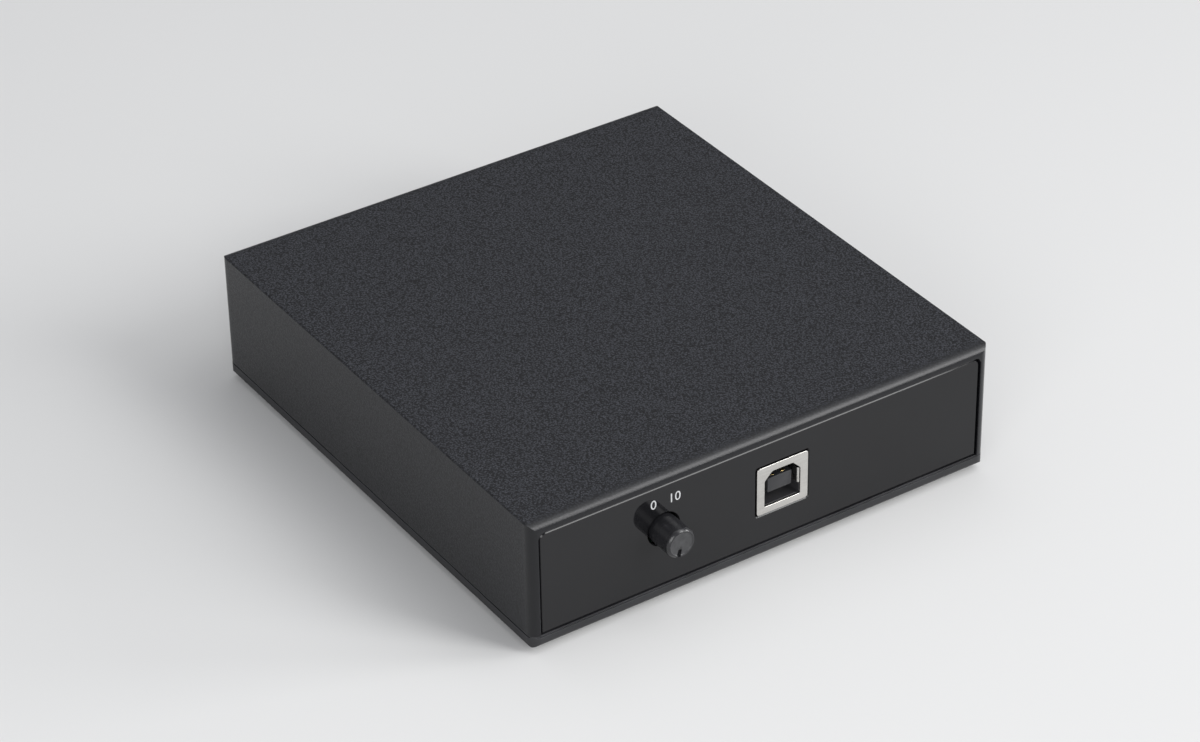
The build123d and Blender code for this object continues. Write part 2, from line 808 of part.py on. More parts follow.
contact_offset = contact_grip + contact_thickness / 2
with BuildPart() as jack_centre_contacts:
    with BuildSketch(facing(core_end_y - contact_setback)):
        for jack_x in output_jacks + input_jacks:
            with Locations((jack_x, jack_z - contact_offset), (jack_x, jack_z + contact_offset)):
                Rectangle(contact_width, contact_thickness)
    extrude(amount=core_end_y - contact_setback - inner_panel_y)

# ---------------------------------------------------------------- power socket
power_collar_y = panel_rear_y + power_collar_projection
with BuildPart() as power_jack_body:
    with BuildSketch(facing(inner_panel_y)):
        with Locations((power_x, board_z + body_gap)):
            Rectangle(
                power_width,
                power_axis_height + power_rise - body_gap,
                align=(Align.CENTER, Align.MIN),
            )
    extrude(amount=power_length)
    chamfer(power_jack_body.edges().filter_by(Axis.Y).group_by(Axis.Z)[-1], jack_block_edge)
    with BuildSketch(facing(inner_panel_y)):
        with Locations((power_x, power_z)):
            Circle(power_collar_radius)
    extrude(amount=inner_panel_y - power_collar_y)
    with BuildSketch(facing(power_collar_y)):
        with Locations((power_x, power_z)):
            Circle(power_bore)
    extrude(amount=power_bore_depth, mode=Mode.SUBTRACT)

power_floor_y = power_collar_y - power_bore_depth
with BuildPart() as power_jack_pin:
    with BuildSketch(facing(power_floor_y)):
        with Locations((power_x, power_z)):
            Circle(power_pin_radius)
    extrude(amount=power_pin_setback - power_bore_depth)

with BuildPart() as power_jack_spring:
    with BuildSketch(facing(power_floor_y)):
        with Locations((power_x, power_z - power_bore + power_spring_thickness)):
            Rectangle(power_spring_width, power_spring_thickness)
    extrude(amount=-power_spring_length)

# ---------------------------------------------------------------- ground post
stud_end_y = panel_rear_y + stud_projection
with BuildPart() as ground_post:
    with BuildSketch(facing(stud_end_y)):
        with Locations((ground_x, ground_z)):
            Circle(stud_radius)
    extrude(amount=stud_projection + panel_thickness + stud_tail)
    with BuildSketch(facing(panel_rear_y)):
        with Locations((ground_x, ground_z)):
            RegularPolygon(shoulder_radius, 6)
    extrude(amount=-shoulder_thickness)

with BuildPart() as ground_clamp_washer:
    with BuildSketch(facing(nut_y)):
        with Locations((ground_x, ground_z)):
            Circle(washer_radius)
            Circle(stud_radius + running_gap, mode=Mode.SUBTRACT)
    extrude(amount=washer_thickness)

nut_end_y = nut_y + nut_length
with BuildPart() as ground_thumb_nut:
    with BuildSketch(facing(nut_end_y)):
        with Locations((ground_x, ground_z)):
            Circle(nut_radius)
            with PolarLocations(nut_radius, nut_flutes):
                RegularPolygon(flute_size, 4, mode=Mode.SUBTRACT)
    extrude(amount=nut_length - nut_neck_length)
    with BuildSketch(facing(nut_y + nut_neck_length)):
        with Locations((ground_x, ground_z)):
            Circle(nut_neck_radius)
    extrude(amount=nut_neck_length - running_gap)
    with BuildSketch(facing(nut_end_y)):
        with Locations((ground_x, ground_z)):
            Circle(stud_radius + running_gap)
    extrude(amount=nut_length, mode=Mode.SUBTRACT)

lock_nut_y = inner_panel_y - strap_thickness
with BuildPart() as ground_lock_nut:
    with BuildSketch(facing(lock_nut_y)):
        with Locations((ground_x, ground_z)):
            RegularPolygon(lock_nut_radius, 6)
            Circle(stud_radius + body_gap, mode=Mode.SUBTRACT)
    extrude(amount=lock_nut_thickness)

strap_z = board_z + body_gap
with BuildPart() as ground_strap:
    with BuildSketch(facing(inner_panel_y)):
        with Locations((ground_x, strap_z)):
            Rectangle(
                strap_width,
                ground_z + strap_width / 2 - strap_z,
                align=(Align.CENTER, Align.MIN),
            )
        with Locations((ground_x, ground_z)):
            Circle(stud_radius + body_gap, mode=Mode.SUBTRACT)
    extrude(amount=strap_thickness)
    with BuildSketch(level(strap_z)):
        with Locations((ground_x, inner_panel_y)):
            Rectangle(strap_width, strap_foot, align=(Align.CENTER, Align.MAX))
    extrude(amount=strap_thickness)

# ---------------------------------------------------------------- power supply on the board
stand_z = board_z + body_gap


def chip(x, y, width, length, height, leads, lead_pitch):
    """Flat chip on the board: a moulded body over a row of leads that stick out left and right."""
    with BuildPart() as body:
        with BuildSketch(level(stand_z)):
            with Locations((x, y)):
                with GridLocations(0, lead_pitch, 1, leads):
                    Rectangle(width + 2 * chip_lead_reach, chip_lead_width)
        extrude(amount=chip_lead_thickness)
        with BuildSketch(level(stand_z + chip_lead_thickness)):
            with Locations((x, y)):
                Rectangle(width, length)
        extrude(amount=height)
    return body.part


rectifier_x = left_x + rectifier_from_left
rectifier_y = rear_y - rectifier_from_rear
with BuildPart() as rectifier:
    with BuildSketch(level(stand_z)) as rectifier_plan:
        with Locations((rectifier_x, rectifier_y)):
            Rectangle(rectifier_size, rectifier_size)
        chamfer(rectifier_plan.vertices().sort_by(Axis.X)[-1], rectifier_corner)
    extrude(amount=rectifier_height)

with BuildPart() as smoothing_capacitors:
    with BuildSketch(level(stand_z)):
        with Locations((left_x + can_from_left, rear_y - can_from_rear)):
            with GridLocations(0, can_pitch, 1, 2):
                Circle(can_radius)
    extrude(amount=can_height)

with BuildPart() as coupling_capacitors:
    with BuildSketch(level(stand_z)):
        with Locations((left_x + coupling_from_left, rear_y - coupling_from_rear)):
            with GridLocations(coupling_pitch, 0, 2, 1):
                Rectangle(coupling_width, coupling_length)
    extrude(amount=coupling_height)

regulator_x = left_x + regulator_from_left
regulator_row_y = rear_y - regulator_from_rear
regulator_places = [(regulator_x, regulator_row_y + step * regulator_pitch) for step in (-0.5, 0.5)]
tab_x = regulator_x - regulator_body_thickness / 2
with BuildPart() as voltage_regulators:
    with BuildSketch(level(stand_z + regulator_lift)):
        with Locations(*regulator_places):
            Rectangle(regulator_body_thickness, regulator_body_width)
    extrude(amount=regulator_body_height)
    with BuildSketch(level(stand_z + regulator_lift)):
        with Locations(*[(tab_x + regulator_tab_thickness / 2, y) for x, y in regulator_places]):
            Rectangle(regulator_tab_thickness, regulator_body_width)
    extrude(amount=regulator_body_height + regulator_tab_rise)
    with BuildSketch(level(stand_z)):
        for x, y in regulator_places:
            with Locations((x, y)):
                with GridLocations(0, regulator_lead_pitch, 1, 3):
                    Rectangle(regulator_lead_thickness, regulator_lead_width)
    extrude(amount=regulator_lift)

heatsink_x = tab_x - body_gap
heatsink_fin_pitch = (heatsink_length - heatsink_fin_thickness) / (heatsink_fin_count - 1)
with BuildPart() as regulator_heatsink:
    with BuildSketch(level(stand_z)):
        with Locations((heatsink_x, regulator_row_y)):
            Rectangle(heatsink_back, heatsink_length, align=(Align.MAX, Align.CENTER))
        with Locations((heatsink_x - heatsink_back, regulator_row_y)):
            with GridLocations(0, heatsink_fin_pitch, 1, heatsink_fin_count):
                Rectangle(heatsink_fin_length, heatsink_fin_thickness, align=(Align.MAX, Align.CENTER))
    extrude(amount=heatsink_height)

choke_x = left_x + choke_from_left
choke_y = rear_y - choke_from_rear
with BuildPart() as supply_choke:
    with BuildSketch(level(stand_z)):
        with Locations((choke_x, choke_y)):
            Rectangle(choke_length, choke_width)
        with Locations((choke_x, choke_y - choke_width / 2), (choke_x, choke_y + choke_width / 2)):
            Rectangle(choke_groove, 2 * choke_waist, mode=Mode.SUBTRACT)
    extrude(amount=choke_height)

# ---------------------------------------------------------------- signal parts on the board
film_y = rear_y - film_from_rear
with BuildPart() as film_capacitors:
    with BuildSketch(level(stand_z)):
        with Locations((left_x + film_from_left, film_y)):
            with GridLocations(film_pitch_x, film_pitch_y, 3, 2):
                Rectangle(film_length, film_width)
    extrude(amount=film_height)
    chamfer(film_capacitors.edges().group_by(Axis.Z)[-1], film_edge)

op_amp_x = left_x + op_amp_from_left
op_amp_y = rear_y - op_amp_from_rear
with BuildPart() as op_amps:
    for side in (-1, 1):
        add(
            chip(
                op_amp_x + side * op_amp_pitch / 2,
                op_amp_y,
                op_amp_width,
                op_amp_length,
                op_amp_height,
                op_amp_lead_count,
                op_amp_lead_pitch,
            )
        )

transistor_x = left_x + transistor_from_left
transistor_y = rear_y - transistor_from_rear
with BuildPart() as input_transistors:
    with BuildSketch(level(stand_z)):
        with Locations((transistor_x, transistor_y)):
            with GridLocations(transistor_pitch, transistor_pitch, 2, 2):
                Rectangle(transistor_length, transistor_width)
                Rectangle(chip_lead_width, transistor_width + 2 * chip_lead_reach)
    extrude(amount=chip_lead_thickness)
    with BuildSketch(level(stand_z + chip_lead_thickness)):
        with Locations((transistor_x, transistor_y)):
            with GridLocations(transistor_pitch, transistor_pitch, 2, 2):
                Rectangle(transistor_length, transistor_width)
    extrude(amount=transistor_height)

with BuildPart() as converter_chip:
    add(
        chip(
            left_x + converter_from_left,
            front_y + converter_from_front,
            converter_width,
            converter_length,
            converter_height,
            converter_lead_count,
            converter_lead_pitch,
        )
    )

with BuildPart() as usb_chip:
    add(
        chip(
            usb_x,
            front_y + usb_chip_from_front,
            usb_chip_width,
            usb_chip_length,
            usb_chip_height,
            usb_chip_lead_count,
            usb_chip_lead_pitch,
        )
    )

crystal_y = front_y + crystal_from_front
with BuildPart() as clock_crystal:
    with BuildSketch(level(stand_z)):
        with Locations((usb_x - crystal_from_usb, crystal_y)):
            Rectangle(crystal_length, crystal_width)
    extrude(amount=crystal_height)

with BuildPart() as chip_resistors:
    with BuildSketch(level(stand_z)):
        with Locations((left_x + resistor_from_left, front_y + resistor_from_front)):
            with GridLocations(resistor_pitch_x, resistor_pitch_y, resistor_columns, resistor_rows):
                Rectangle(resistor_length, resistor_width)
    extrude(amount=resistor_height)

with BuildPart() as chip_capacitors:
    with BuildSketch(level(stand_z)):
        with Locations((left_x + capacitor_from_left, front_y + capacitor_from_front)):
            with GridLocations(capacitor_pitch_x, capacitor_pitch_y, capacitor_columns, capacitor_rows):
                Rectangle(capacitor_length, capacitor_width)
    extrude(amount=capacitor_height)

# ---------------------------------------------------------------- circuit board and its supports
notch_x = case_width / 2 - post_pad_x
notch_depth_y = post_from_end + post_half + post_pad_gap
notch_front_y = front_y + notch_depth_y
notch_rear_y = rear_y - notch_depth_y
with BuildPart() as main_board:
    with BuildSketch(level(board_under_z)):
        with Locations((0, (notch_front_y + notch_rear_y) / 2)):
            Rectangle(board_width, notch_rear_y - notch_front_y)
        with Locations((0, board_middle_y)):
            Rectangle(2 * notch_x, board_depth)
        with Locations(*support_places):
            Rectangle(support_neck + 2 * leg_gap, support_neck + 2 * leg_gap, mode=Mode.SUBTRACT)
    extrude(amount=board_thickness)
    with BuildSketch(level(board_under_z)):
        with Locations(*[(knob_x + side * pot_leg_x, pot_front_y + leg_width / 2) for side in (-1, 1)]):
            Rectangle(leg_thickness + 2 * leg_gap, leg_width + 2 * leg_gap)
        with Locations(*pin_places):
            with Locations((0, leg_thickness / 2)):
                Rectangle(pin_width + 2 * leg_gap, leg_thickness + 2 * leg_gap)
        with Locations(*usb_leg_places):
            Rectangle(usb_sheet + 2 * leg_gap, 2 * leg_width + 2 * leg_gap)
        for side in (-1, 1):
            tail_y = usb_rear_y + (2 + side) * usb_contact_thickness
            with Locations(*[(usb_x + step * usb_contact_pitch, tail_y) for step in (-0.5, 0.5)]):
                Rectangle(usb_contact_width + 2 * leg_gap, usb_contact_thickness + 2 * leg_gap)
    extrude(amount=board_thickness, mode=Mode.SUBTRACT)

with BuildPart() as board_supports:
    with BuildSketch(level(floor_z)):
        with Locations(*support_places):
            Rectangle(support_width, support_width)
    extrude(amount=board_under_z - floor_z)
    with BuildSketch(level(board_under_z)):
        with Locations(*support_places):
            Rectangle(support_neck, support_neck)
    extrude(amount=board_thickness + body_gap)
    with BuildSketch(level(board_z + body_gap)):
        with Locations(*support_places):
            Rectangle(support_barb, support_barb)
    extrude(amount=support_barb_height, taper=barb_angle)

# ---------------------------------------------------------------- written pieces
pieces = {
    "upper_shell": upper_shell,
    "base_tray": base_tray,
    "rubber_feet": rubber_feet,
    "case_screws": case_screws,
    "front_panel": front_panel,
    "rear_panel": rear_panel,
    "level_knob": level_knob,
    "level_shaft": level_shaft,
    "level_wiper": level_wiper,
    "level_pot_housing": level_pot_housing,
    "level_pot_cover": level_pot_cover,
    "level_pot_pins": level_pot_pins,
    "usb_shell": usb_shell,
    "usb_insulator": usb_insulator,
    "usb_contacts": usb_contacts,
    "input_jack_block": input_jack_block,
    "output_jack_block": output_jack_block,
    "input_jack_barrels": input_jack_barrels,
    "output_jack_barrels": output_jack_barrels,
    "left_jack_insulators": left_jack_insulators,
    "right_jack_insulators": right_jack_insulators,
    "jack_centre_contacts": jack_centre_contacts,
    "power_jack_body": power_jack_body,
    "power_jack_pin": power_jack_pin,
    "power_jack_spring": power_jack_spring,
    "ground_post": ground_post,
    "ground_clamp_washer": ground_clamp_washer,
    "ground_thumb_nut": ground_thumb_nut,
    "ground_lock_nut": ground_lock_nut,
    "ground_strap": ground_strap,
    "rectifier": rectifier,
    "smoothing_capacitors": smoothing_capacitors,
    "coupling_capacitors": coupling_capacitors,
    "voltage_regulators": voltage_regulators,
    "regulator_heatsink": regulator_heatsink,
    "supply_choke": supply_choke,
    "film_capacitors": film_capacitors,
    "op_amps": op_amps,
    "input_transistors": input_transistors,
    "converter_chip": converter_chip,
    "usb_chip": usb_chip,
    "clock_crystal": clock_crystal,
    "chip_resistors": chip_resistors,
    "chip_capacitors": chip_capacitors,
    "main_board": main_board,
    "board_supports": board_supports,
}

os.makedirs("parts", exist_ok=True)
for name, piece in pieces.items():
    piece.part.label = name
    export_step(piece.part, f"parts/{name}.step")
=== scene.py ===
import json
import math
import random

import bmesh
import bpy
from mathutils import Matrix, Vector


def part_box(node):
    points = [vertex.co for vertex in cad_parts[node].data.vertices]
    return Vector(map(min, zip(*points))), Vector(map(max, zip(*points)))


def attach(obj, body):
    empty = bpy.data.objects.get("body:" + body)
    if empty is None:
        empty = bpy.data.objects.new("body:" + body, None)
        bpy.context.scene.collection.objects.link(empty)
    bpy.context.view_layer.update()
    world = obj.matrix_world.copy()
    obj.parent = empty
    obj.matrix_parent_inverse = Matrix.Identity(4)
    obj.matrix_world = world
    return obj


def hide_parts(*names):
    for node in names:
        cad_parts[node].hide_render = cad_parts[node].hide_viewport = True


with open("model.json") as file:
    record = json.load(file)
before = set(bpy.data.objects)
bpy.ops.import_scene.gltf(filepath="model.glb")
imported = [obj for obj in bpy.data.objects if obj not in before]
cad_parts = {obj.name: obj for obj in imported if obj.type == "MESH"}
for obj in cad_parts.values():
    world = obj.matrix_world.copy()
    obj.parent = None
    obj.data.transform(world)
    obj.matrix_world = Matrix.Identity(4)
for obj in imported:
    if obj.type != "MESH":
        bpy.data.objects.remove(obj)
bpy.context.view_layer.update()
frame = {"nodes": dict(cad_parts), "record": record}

# A phono preamp in a black powder-coated case. Lengths of the object are millimetres until they are
# written into a mesh, and every mesh is built in the row frame: X right, Y to the rear, Z up.
MM = 0.001
scene = bpy.context.scene
nodes = frame["nodes"]


def span(node):
    """Lowest and highest corner of a CAD node in millimetres."""
    low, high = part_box(node)
    return low / MM, high / MM


def middle(node):
    """Centre of a CAD node's box in millimetres."""
    low, high = span(node)
    return (low + high) / 2


# ---------------------------------------------------------------- material helpers
def new_material(name):
    """Material with a bare Principled shader, and shortcuts to make and join its nodes."""
    mat = bpy.data.materials.new(name)
    mat.use_nodes = True
    tree = mat.node_tree
    shader = tree.nodes["Principled BSDF"]

    def node(kind, **values):
        made = tree.nodes.new(kind)
        for key, value in values.items():
            if key in made.inputs.keys():
                made.inputs[key].default_value = value
            else:
                setattr(made, key, value)
        return made

    def link(source, target):
        tree.links.new(source, target)

    return mat, shader, node, link


def noise(node, link, coords, scale, detail, roughness, stretch=None):
    """Noise value from 0 to 1 on the piece's own coordinates, in features per metre."""
    if stretch:
        mapping = node("ShaderNodeMapping", Scale=stretch)
        link(coords, mapping.inputs["Vector"])
        coords = mapping.outputs["Vector"]
    made = node("ShaderNodeTexNoise", Scale=scale, Detail=detail, Roughness=roughness)
    link(coords, made.inputs["Vector"])
    return made.outputs["Fac"]


def ramp(node, link, value, low, high, to_low=0.0, to_high=1.0):
    """Value stretched from one range to another and held inside it."""
    made = node("ShaderNodeMapRange", clamp=True)
    made.inputs["From Min"].default_value = low
    made.inputs["From Max"].default_value = high
    made.inputs["To Min"].default_value = to_low
    made.inputs["To Max"].default_value = to_high
    link(value, made.inputs["Value"])
    return made.outputs["Result"]


def math_node(node, link, operation, a, b):
    """Result of a Math node on two values, each a number or a socket."""
    made = node("ShaderNodeMath", operation=operation)
    for socket, value in zip(made.inputs, (a, b)):
        if isinstance(value, (int, float)):
            socket.default_value = value
        else:
            link(value, socket)
    return made.outputs["Value"]


def mixed(node, link, factor, a, b):
    """Colour between a and b; each is a colour or a socket."""
    made = node("ShaderNodeMix", data_type="RGBA")
    link(factor, made.inputs[0])
    for socket, value in ((made.inputs[6], a), (made.inputs[7], b)):
        if isinstance(value, tuple):
            socket.default_value = (*value, 1.0)
        else:
            link(value, socket)
    return made.outputs[2]


def edge_mask(node, link, radius):
    """1 on edges sharper than the radius and 0 on open faces."""
    bevel = node("ShaderNodeBevel", samples=6)
    bevel.inputs["Radius"].default_value = radius * MM
    geometry = node("ShaderNodeNewGeometry")
    dot = node("ShaderNodeVectorMath", operation="DOT_PRODUCT")
    link(bevel.outputs["Normal"], dot.inputs[0])
    link(geometry.outputs["Normal"], dot.inputs[1])
    return ramp(node, link, dot.outputs["Value"], 0.99, 0.90)


def finish(
    name,
    dark,
    light,
    rough,
    grain,
    depth,
    metallic=0.0,
    stretch=None,
    patch=70.0,
    coat=0.0,
    edge=None,
    highlight_colour=None,
    soft=0.08,
):
    """Surface with mottled colour, uneven roughness, a fine grain in relief and a painted highlight on its
    sharp edges.

    Its colour lies between dark and light, and its roughness between the two values of rough. Patch and
    grain are features per metre. Depth is the height of the grain, edge the width of the sharp edges that
    get a painted highlight in the edge colour, and soft the rounding that shading gives to sharp edges, all
    three in millimetres.
    """
    mat, shader, node, link = new_material(name)
    coords = node("ShaderNodeTexCoord").outputs["Object"]
    broad = noise(node, link, coords, patch, 4.0, 0.6)
    fine = noise(node, link, coords, grain, 2.0, 0.5, stretch)
    faint = math_node(node, link, "MULTIPLY", fine, 0.5)
    blend = math_node(node, link, "ADD", broad, faint)
    colour = mixed(node, link, ramp(node, link, blend, 0.5, 1.0), dark, light)
    roughness = ramp(node, link, broad, 0.35, 0.68, rough[0], rough[1])
    # Sharp edges are lightened in patches towards the edge colour: a painted highlight.
    if edge:
        mask = edge_mask(node, link, edge)
        highlight_patches = ramp(node, link, broad, 0.42, 0.62, 0.25, 0.9)
        edge_highlight = math_node(node, link, "MULTIPLY", mask, highlight_patches)
        colour = mixed(node, link, edge_highlight, colour, highlight_colour or light)
    link(colour, shader.inputs["Base Color"])
    link(roughness, shader.inputs["Roughness"])
    shader.inputs["Metallic"].default_value = metallic
    if coat:
        shader.inputs["Coat Weight"].default_value = coat
        shader.inputs["Coat Roughness"].default_value = 0.06
    bump = node("ShaderNodeBump", Strength=0.6)
    bump.inputs["Distance"].default_value = depth * MM
    link(fine, bump.inputs["Height"])
    if soft:
        rounding = node("ShaderNodeBevel", samples=4)
        rounding.inputs["Radius"].default_value = soft * MM
        link(rounding.outputs["Normal"], bump.inputs["Normal"])
    link(bump.outputs["Normal"], shader.inputs["Normal"])
    return mat


BLACK_SPECULAR = 0.36  # of the two black finishes that cover the case
SIDE_GRAIN = 0.22  # share of the top's grain that is left on the sides
END_GRAIN = 0.25  # share that is left on the rounded ends


def pebbles(node, link, coords):
    """Uneven round grains of the powder, from 0 between them to 1 on their tops."""
    drift = node("ShaderNodeTexNoise", Scale=900.0, Detail=1.0)
    link(coords, drift.inputs["Vector"])
    shift = node("ShaderNodeVectorMath", operation="SCALE", Scale=0.7 * MM)
    link(drift.outputs["Color"], shift.inputs[0])
    moved = node("ShaderNodeVectorMath", operation="ADD")
    link(coords, moved.inputs[0])
    link(shift.outputs["Vector"], moved.inputs[1])
    cells = node("ShaderNodeTexVoronoi", Scale=2500.0)
    link(moved.outputs["Vector"], cells.inputs["Vector"])
    return ramp(node, link, cells.outputs["Distance"], 0.0, 0.78, 1.0, 0.0)


def away_from_ends(node, link, coords):
    """1 on the open faces of the case, falling to the ends' share of grain where they round over."""
    case_low, case_high = span("upper_shell")
    centre_y = (case_low.y + case_high.y) / 2
    half_depth = (case_high.y - case_low.y) / 2
    starts, ends = half_depth - 2.8, half_depth - 1.1
    place = node("ShaderNodeSeparateXYZ")
    link(coords, place.inputs[0])
    from_middle = math_node(node, link, "SUBTRACT", place.outputs["Y"], centre_y * MM)
    off = math_node(node, link, "ABSOLUTE", from_middle, 0.0)
    return ramp(node, link, off, starts * MM, ends * MM, 1.0, END_GRAIN)


def powder_coat():
    """Black powder coat: fine pebbled on top, flowed out smoother on the sides and the rounded ends; its
    pale speckle is partly painted glints and painted top light, and its sharp edges carry a painted
    highlight.
    """
    mat, shader, node, link = new_material("case_powder_coat")
    coords = node("ShaderNodeTexCoord").outputs["Object"]
    pebble = pebbles(node, link, coords)
    speck = noise(node, link, coords, 3300.0, 3.0, 0.65)
    broad = noise(node, link, coords, 45.0, 4.0, 0.6)
    open_face = away_from_ends(node, link, coords)
    geometry = node("ShaderNodeNewGeometry")
    parts = node("ShaderNodeSeparateXYZ")
    link(geometry.outputs["Normal"], parts.inputs[0])
    upward = ramp(node, link, parts.outputs["Z"], 0.2, 0.9, SIDE_GRAIN, 1.0)
    grainy = math_node(node, link, "MULTIPLY", upward, open_face)
    relief = math_node(node, link, "ADD", math_node(node, link, "MULTIPLY", pebble, 0.55), speck)

    # The pale speckle in the colour is partly the thinner coat on the pebble tops and partly painted glints,
    # and it is kept mostly to faces that look up, as painted top light.
    speckle_and_glints = math_node(node, link, "MULTIPLY", ramp(node, link, relief, 0.58, 1.04), grainy)
    tint = mixed(node, link, speckle_and_glints, (0.0058, 0.0060, 0.0074), (0.060, 0.063, 0.075))
    # Sharp edges are lightened in patches towards a paler grey: a painted highlight.
    mask = edge_mask(node, link, 0.3)
    edge_highlight = math_node(node, link, "MULTIPLY", mask, ramp(node, link, broad, 0.4, 0.65, 0.1, 0.45))
    link(mixed(node, link, edge_highlight, tint, (0.075, 0.077, 0.083)), shader.inputs["Base Color"])

    flow = ramp(node, link, open_face, END_GRAIN, 1.0, 0.58, 1.0)
    even = ramp(node, link, upward, SIDE_GRAIN, 1.0, 0.30, 0.60)
    base = math_node(node, link, "MULTIPLY", even, flow)
    hollows = ramp(node, link, relief, 0.5, 1.1, 0.12, 0.0)
    grit = math_node(node, link, "MULTIPLY", hollows, open_face)
    link(math_node(node, link, "ADD", base, grit), shader.inputs["Roughness"])
    shader.inputs["Specular IOR Level"].default_value = BLACK_SPECULAR

    bump = node("ShaderNodeBump", Strength=1.0)
    bump.inputs["Distance"].default_value = 0.14 * MM
    calmer = ramp(node, link, open_face, END_GRAIN, 1.0, 0.5, 1.0)
    eased = math_node(node, link, "MULTIPLY", grainy, calmer)
    link(math_node(node, link, "MULTIPLY", relief, eased), bump.inputs["Height"])
    link(bump.outputs["Normal"], shader.inputs["Normal"])
    return mat


def gloss_panel():
    """Polished black plate with faint wiping marks and a few hairline scratches."""
    mat, shader, node, link = new_material("gloss_black")
    coords = node("ShaderNodeTexCoord").outputs["Object"]
    smudge = noise(node, link, coords, 55.0, 5.0, 0.62)
    wipe = noise(node, link, coords, 420.0, 3.0, 0.5, (0.12, 1.0, 1.0))
    hair = noise(node, link, coords, 900.0, 1.0, 0.5, (0.03, 1.0, 1.2))
    scratch = ramp(node, link, hair, 0.74, 0.78)
    colour = mixed(node, link, smudge, (0.0058, 0.0058, 0.0066), (0.0088, 0.0088, 0.0100))
    link(colour, shader.inputs["Base Color"])
    smudged = ramp(node, link, smudge, 0.45, 0.75)
    wiped = ramp(node, link, wipe, 0.3, 0.8)
    smears = math_node(node, link, "MULTIPLY", smudged, wiped)
    polish = ramp(node, link, smears, 0.0, 0.7, 0.055, 0.17)
    dull = math_node(node, link, "MULTIPLY", scratch, 0.12)
    link(math_node(node, link, "ADD", polish, dull), shader.inputs["Roughness"])
    shader.inputs["Specular IOR Level"].default_value = BLACK_SPECULAR
    bump = node("ShaderNodeBump", Strength=0.25)
    bump.inputs["Distance"].default_value = 0.002 * MM
    link(math_node(node, link, "SUBTRACT", smudge, scratch), bump.inputs["Height"])
    link(bump.outputs["Normal"], shader.inputs["Normal"])
    return mat


def circuit_board():
    """Green solder mask over fine copper tracks, with tinned pads here and there."""
    mat, shader, node, link = new_material("board_green")
    coords = node("ShaderNodeTexCoord").outputs["Object"]
    tracks = node("ShaderNodeTexBrick", Scale=180.0, offset=0.35)
    tracks.inputs["Mortar Size"].default_value = 0.03
    tracks.inputs["Color1"].default_value = (0.0, 0.0, 0.0, 1.0)
    tracks.inputs["Color2"].default_value = (0.35, 0.35, 0.35, 1.0)
    tracks.inputs["Mortar"].default_value = (1.0, 1.0, 1.0, 1.0)
    link(coords, tracks.inputs["Vector"])
    pads = node("ShaderNodeTexVoronoi", Scale=260.0)
    link(coords, pads.inputs["Vector"])
    pad = ramp(node, link, pads.outputs["Distance"], 0.16, 0.13)
    line = tracks.outputs["Fac"]
    mask = mixed(node, link, line, (0.010, 0.075, 0.028), (0.018, 0.13, 0.05))
    link(mixed(node, link, pad, mask, (0.55, 0.53, 0.48)), shader.inputs["Base Color"])
    link(ramp(node, link, pad, 0.0, 1.0, 0.32, 0.24), shader.inputs["Roughness"])
    link(pad, shader.inputs["Metallic"])
    bump = node("ShaderNodeBump", Strength=0.5)
    bump.inputs["Distance"].default_value = 0.03 * MM
    link(math_node(node, link, "MAXIMUM", line, pad), bump.inputs["Height"])
    link(bump.outputs["Normal"], shader.inputs["Normal"])
    return mat
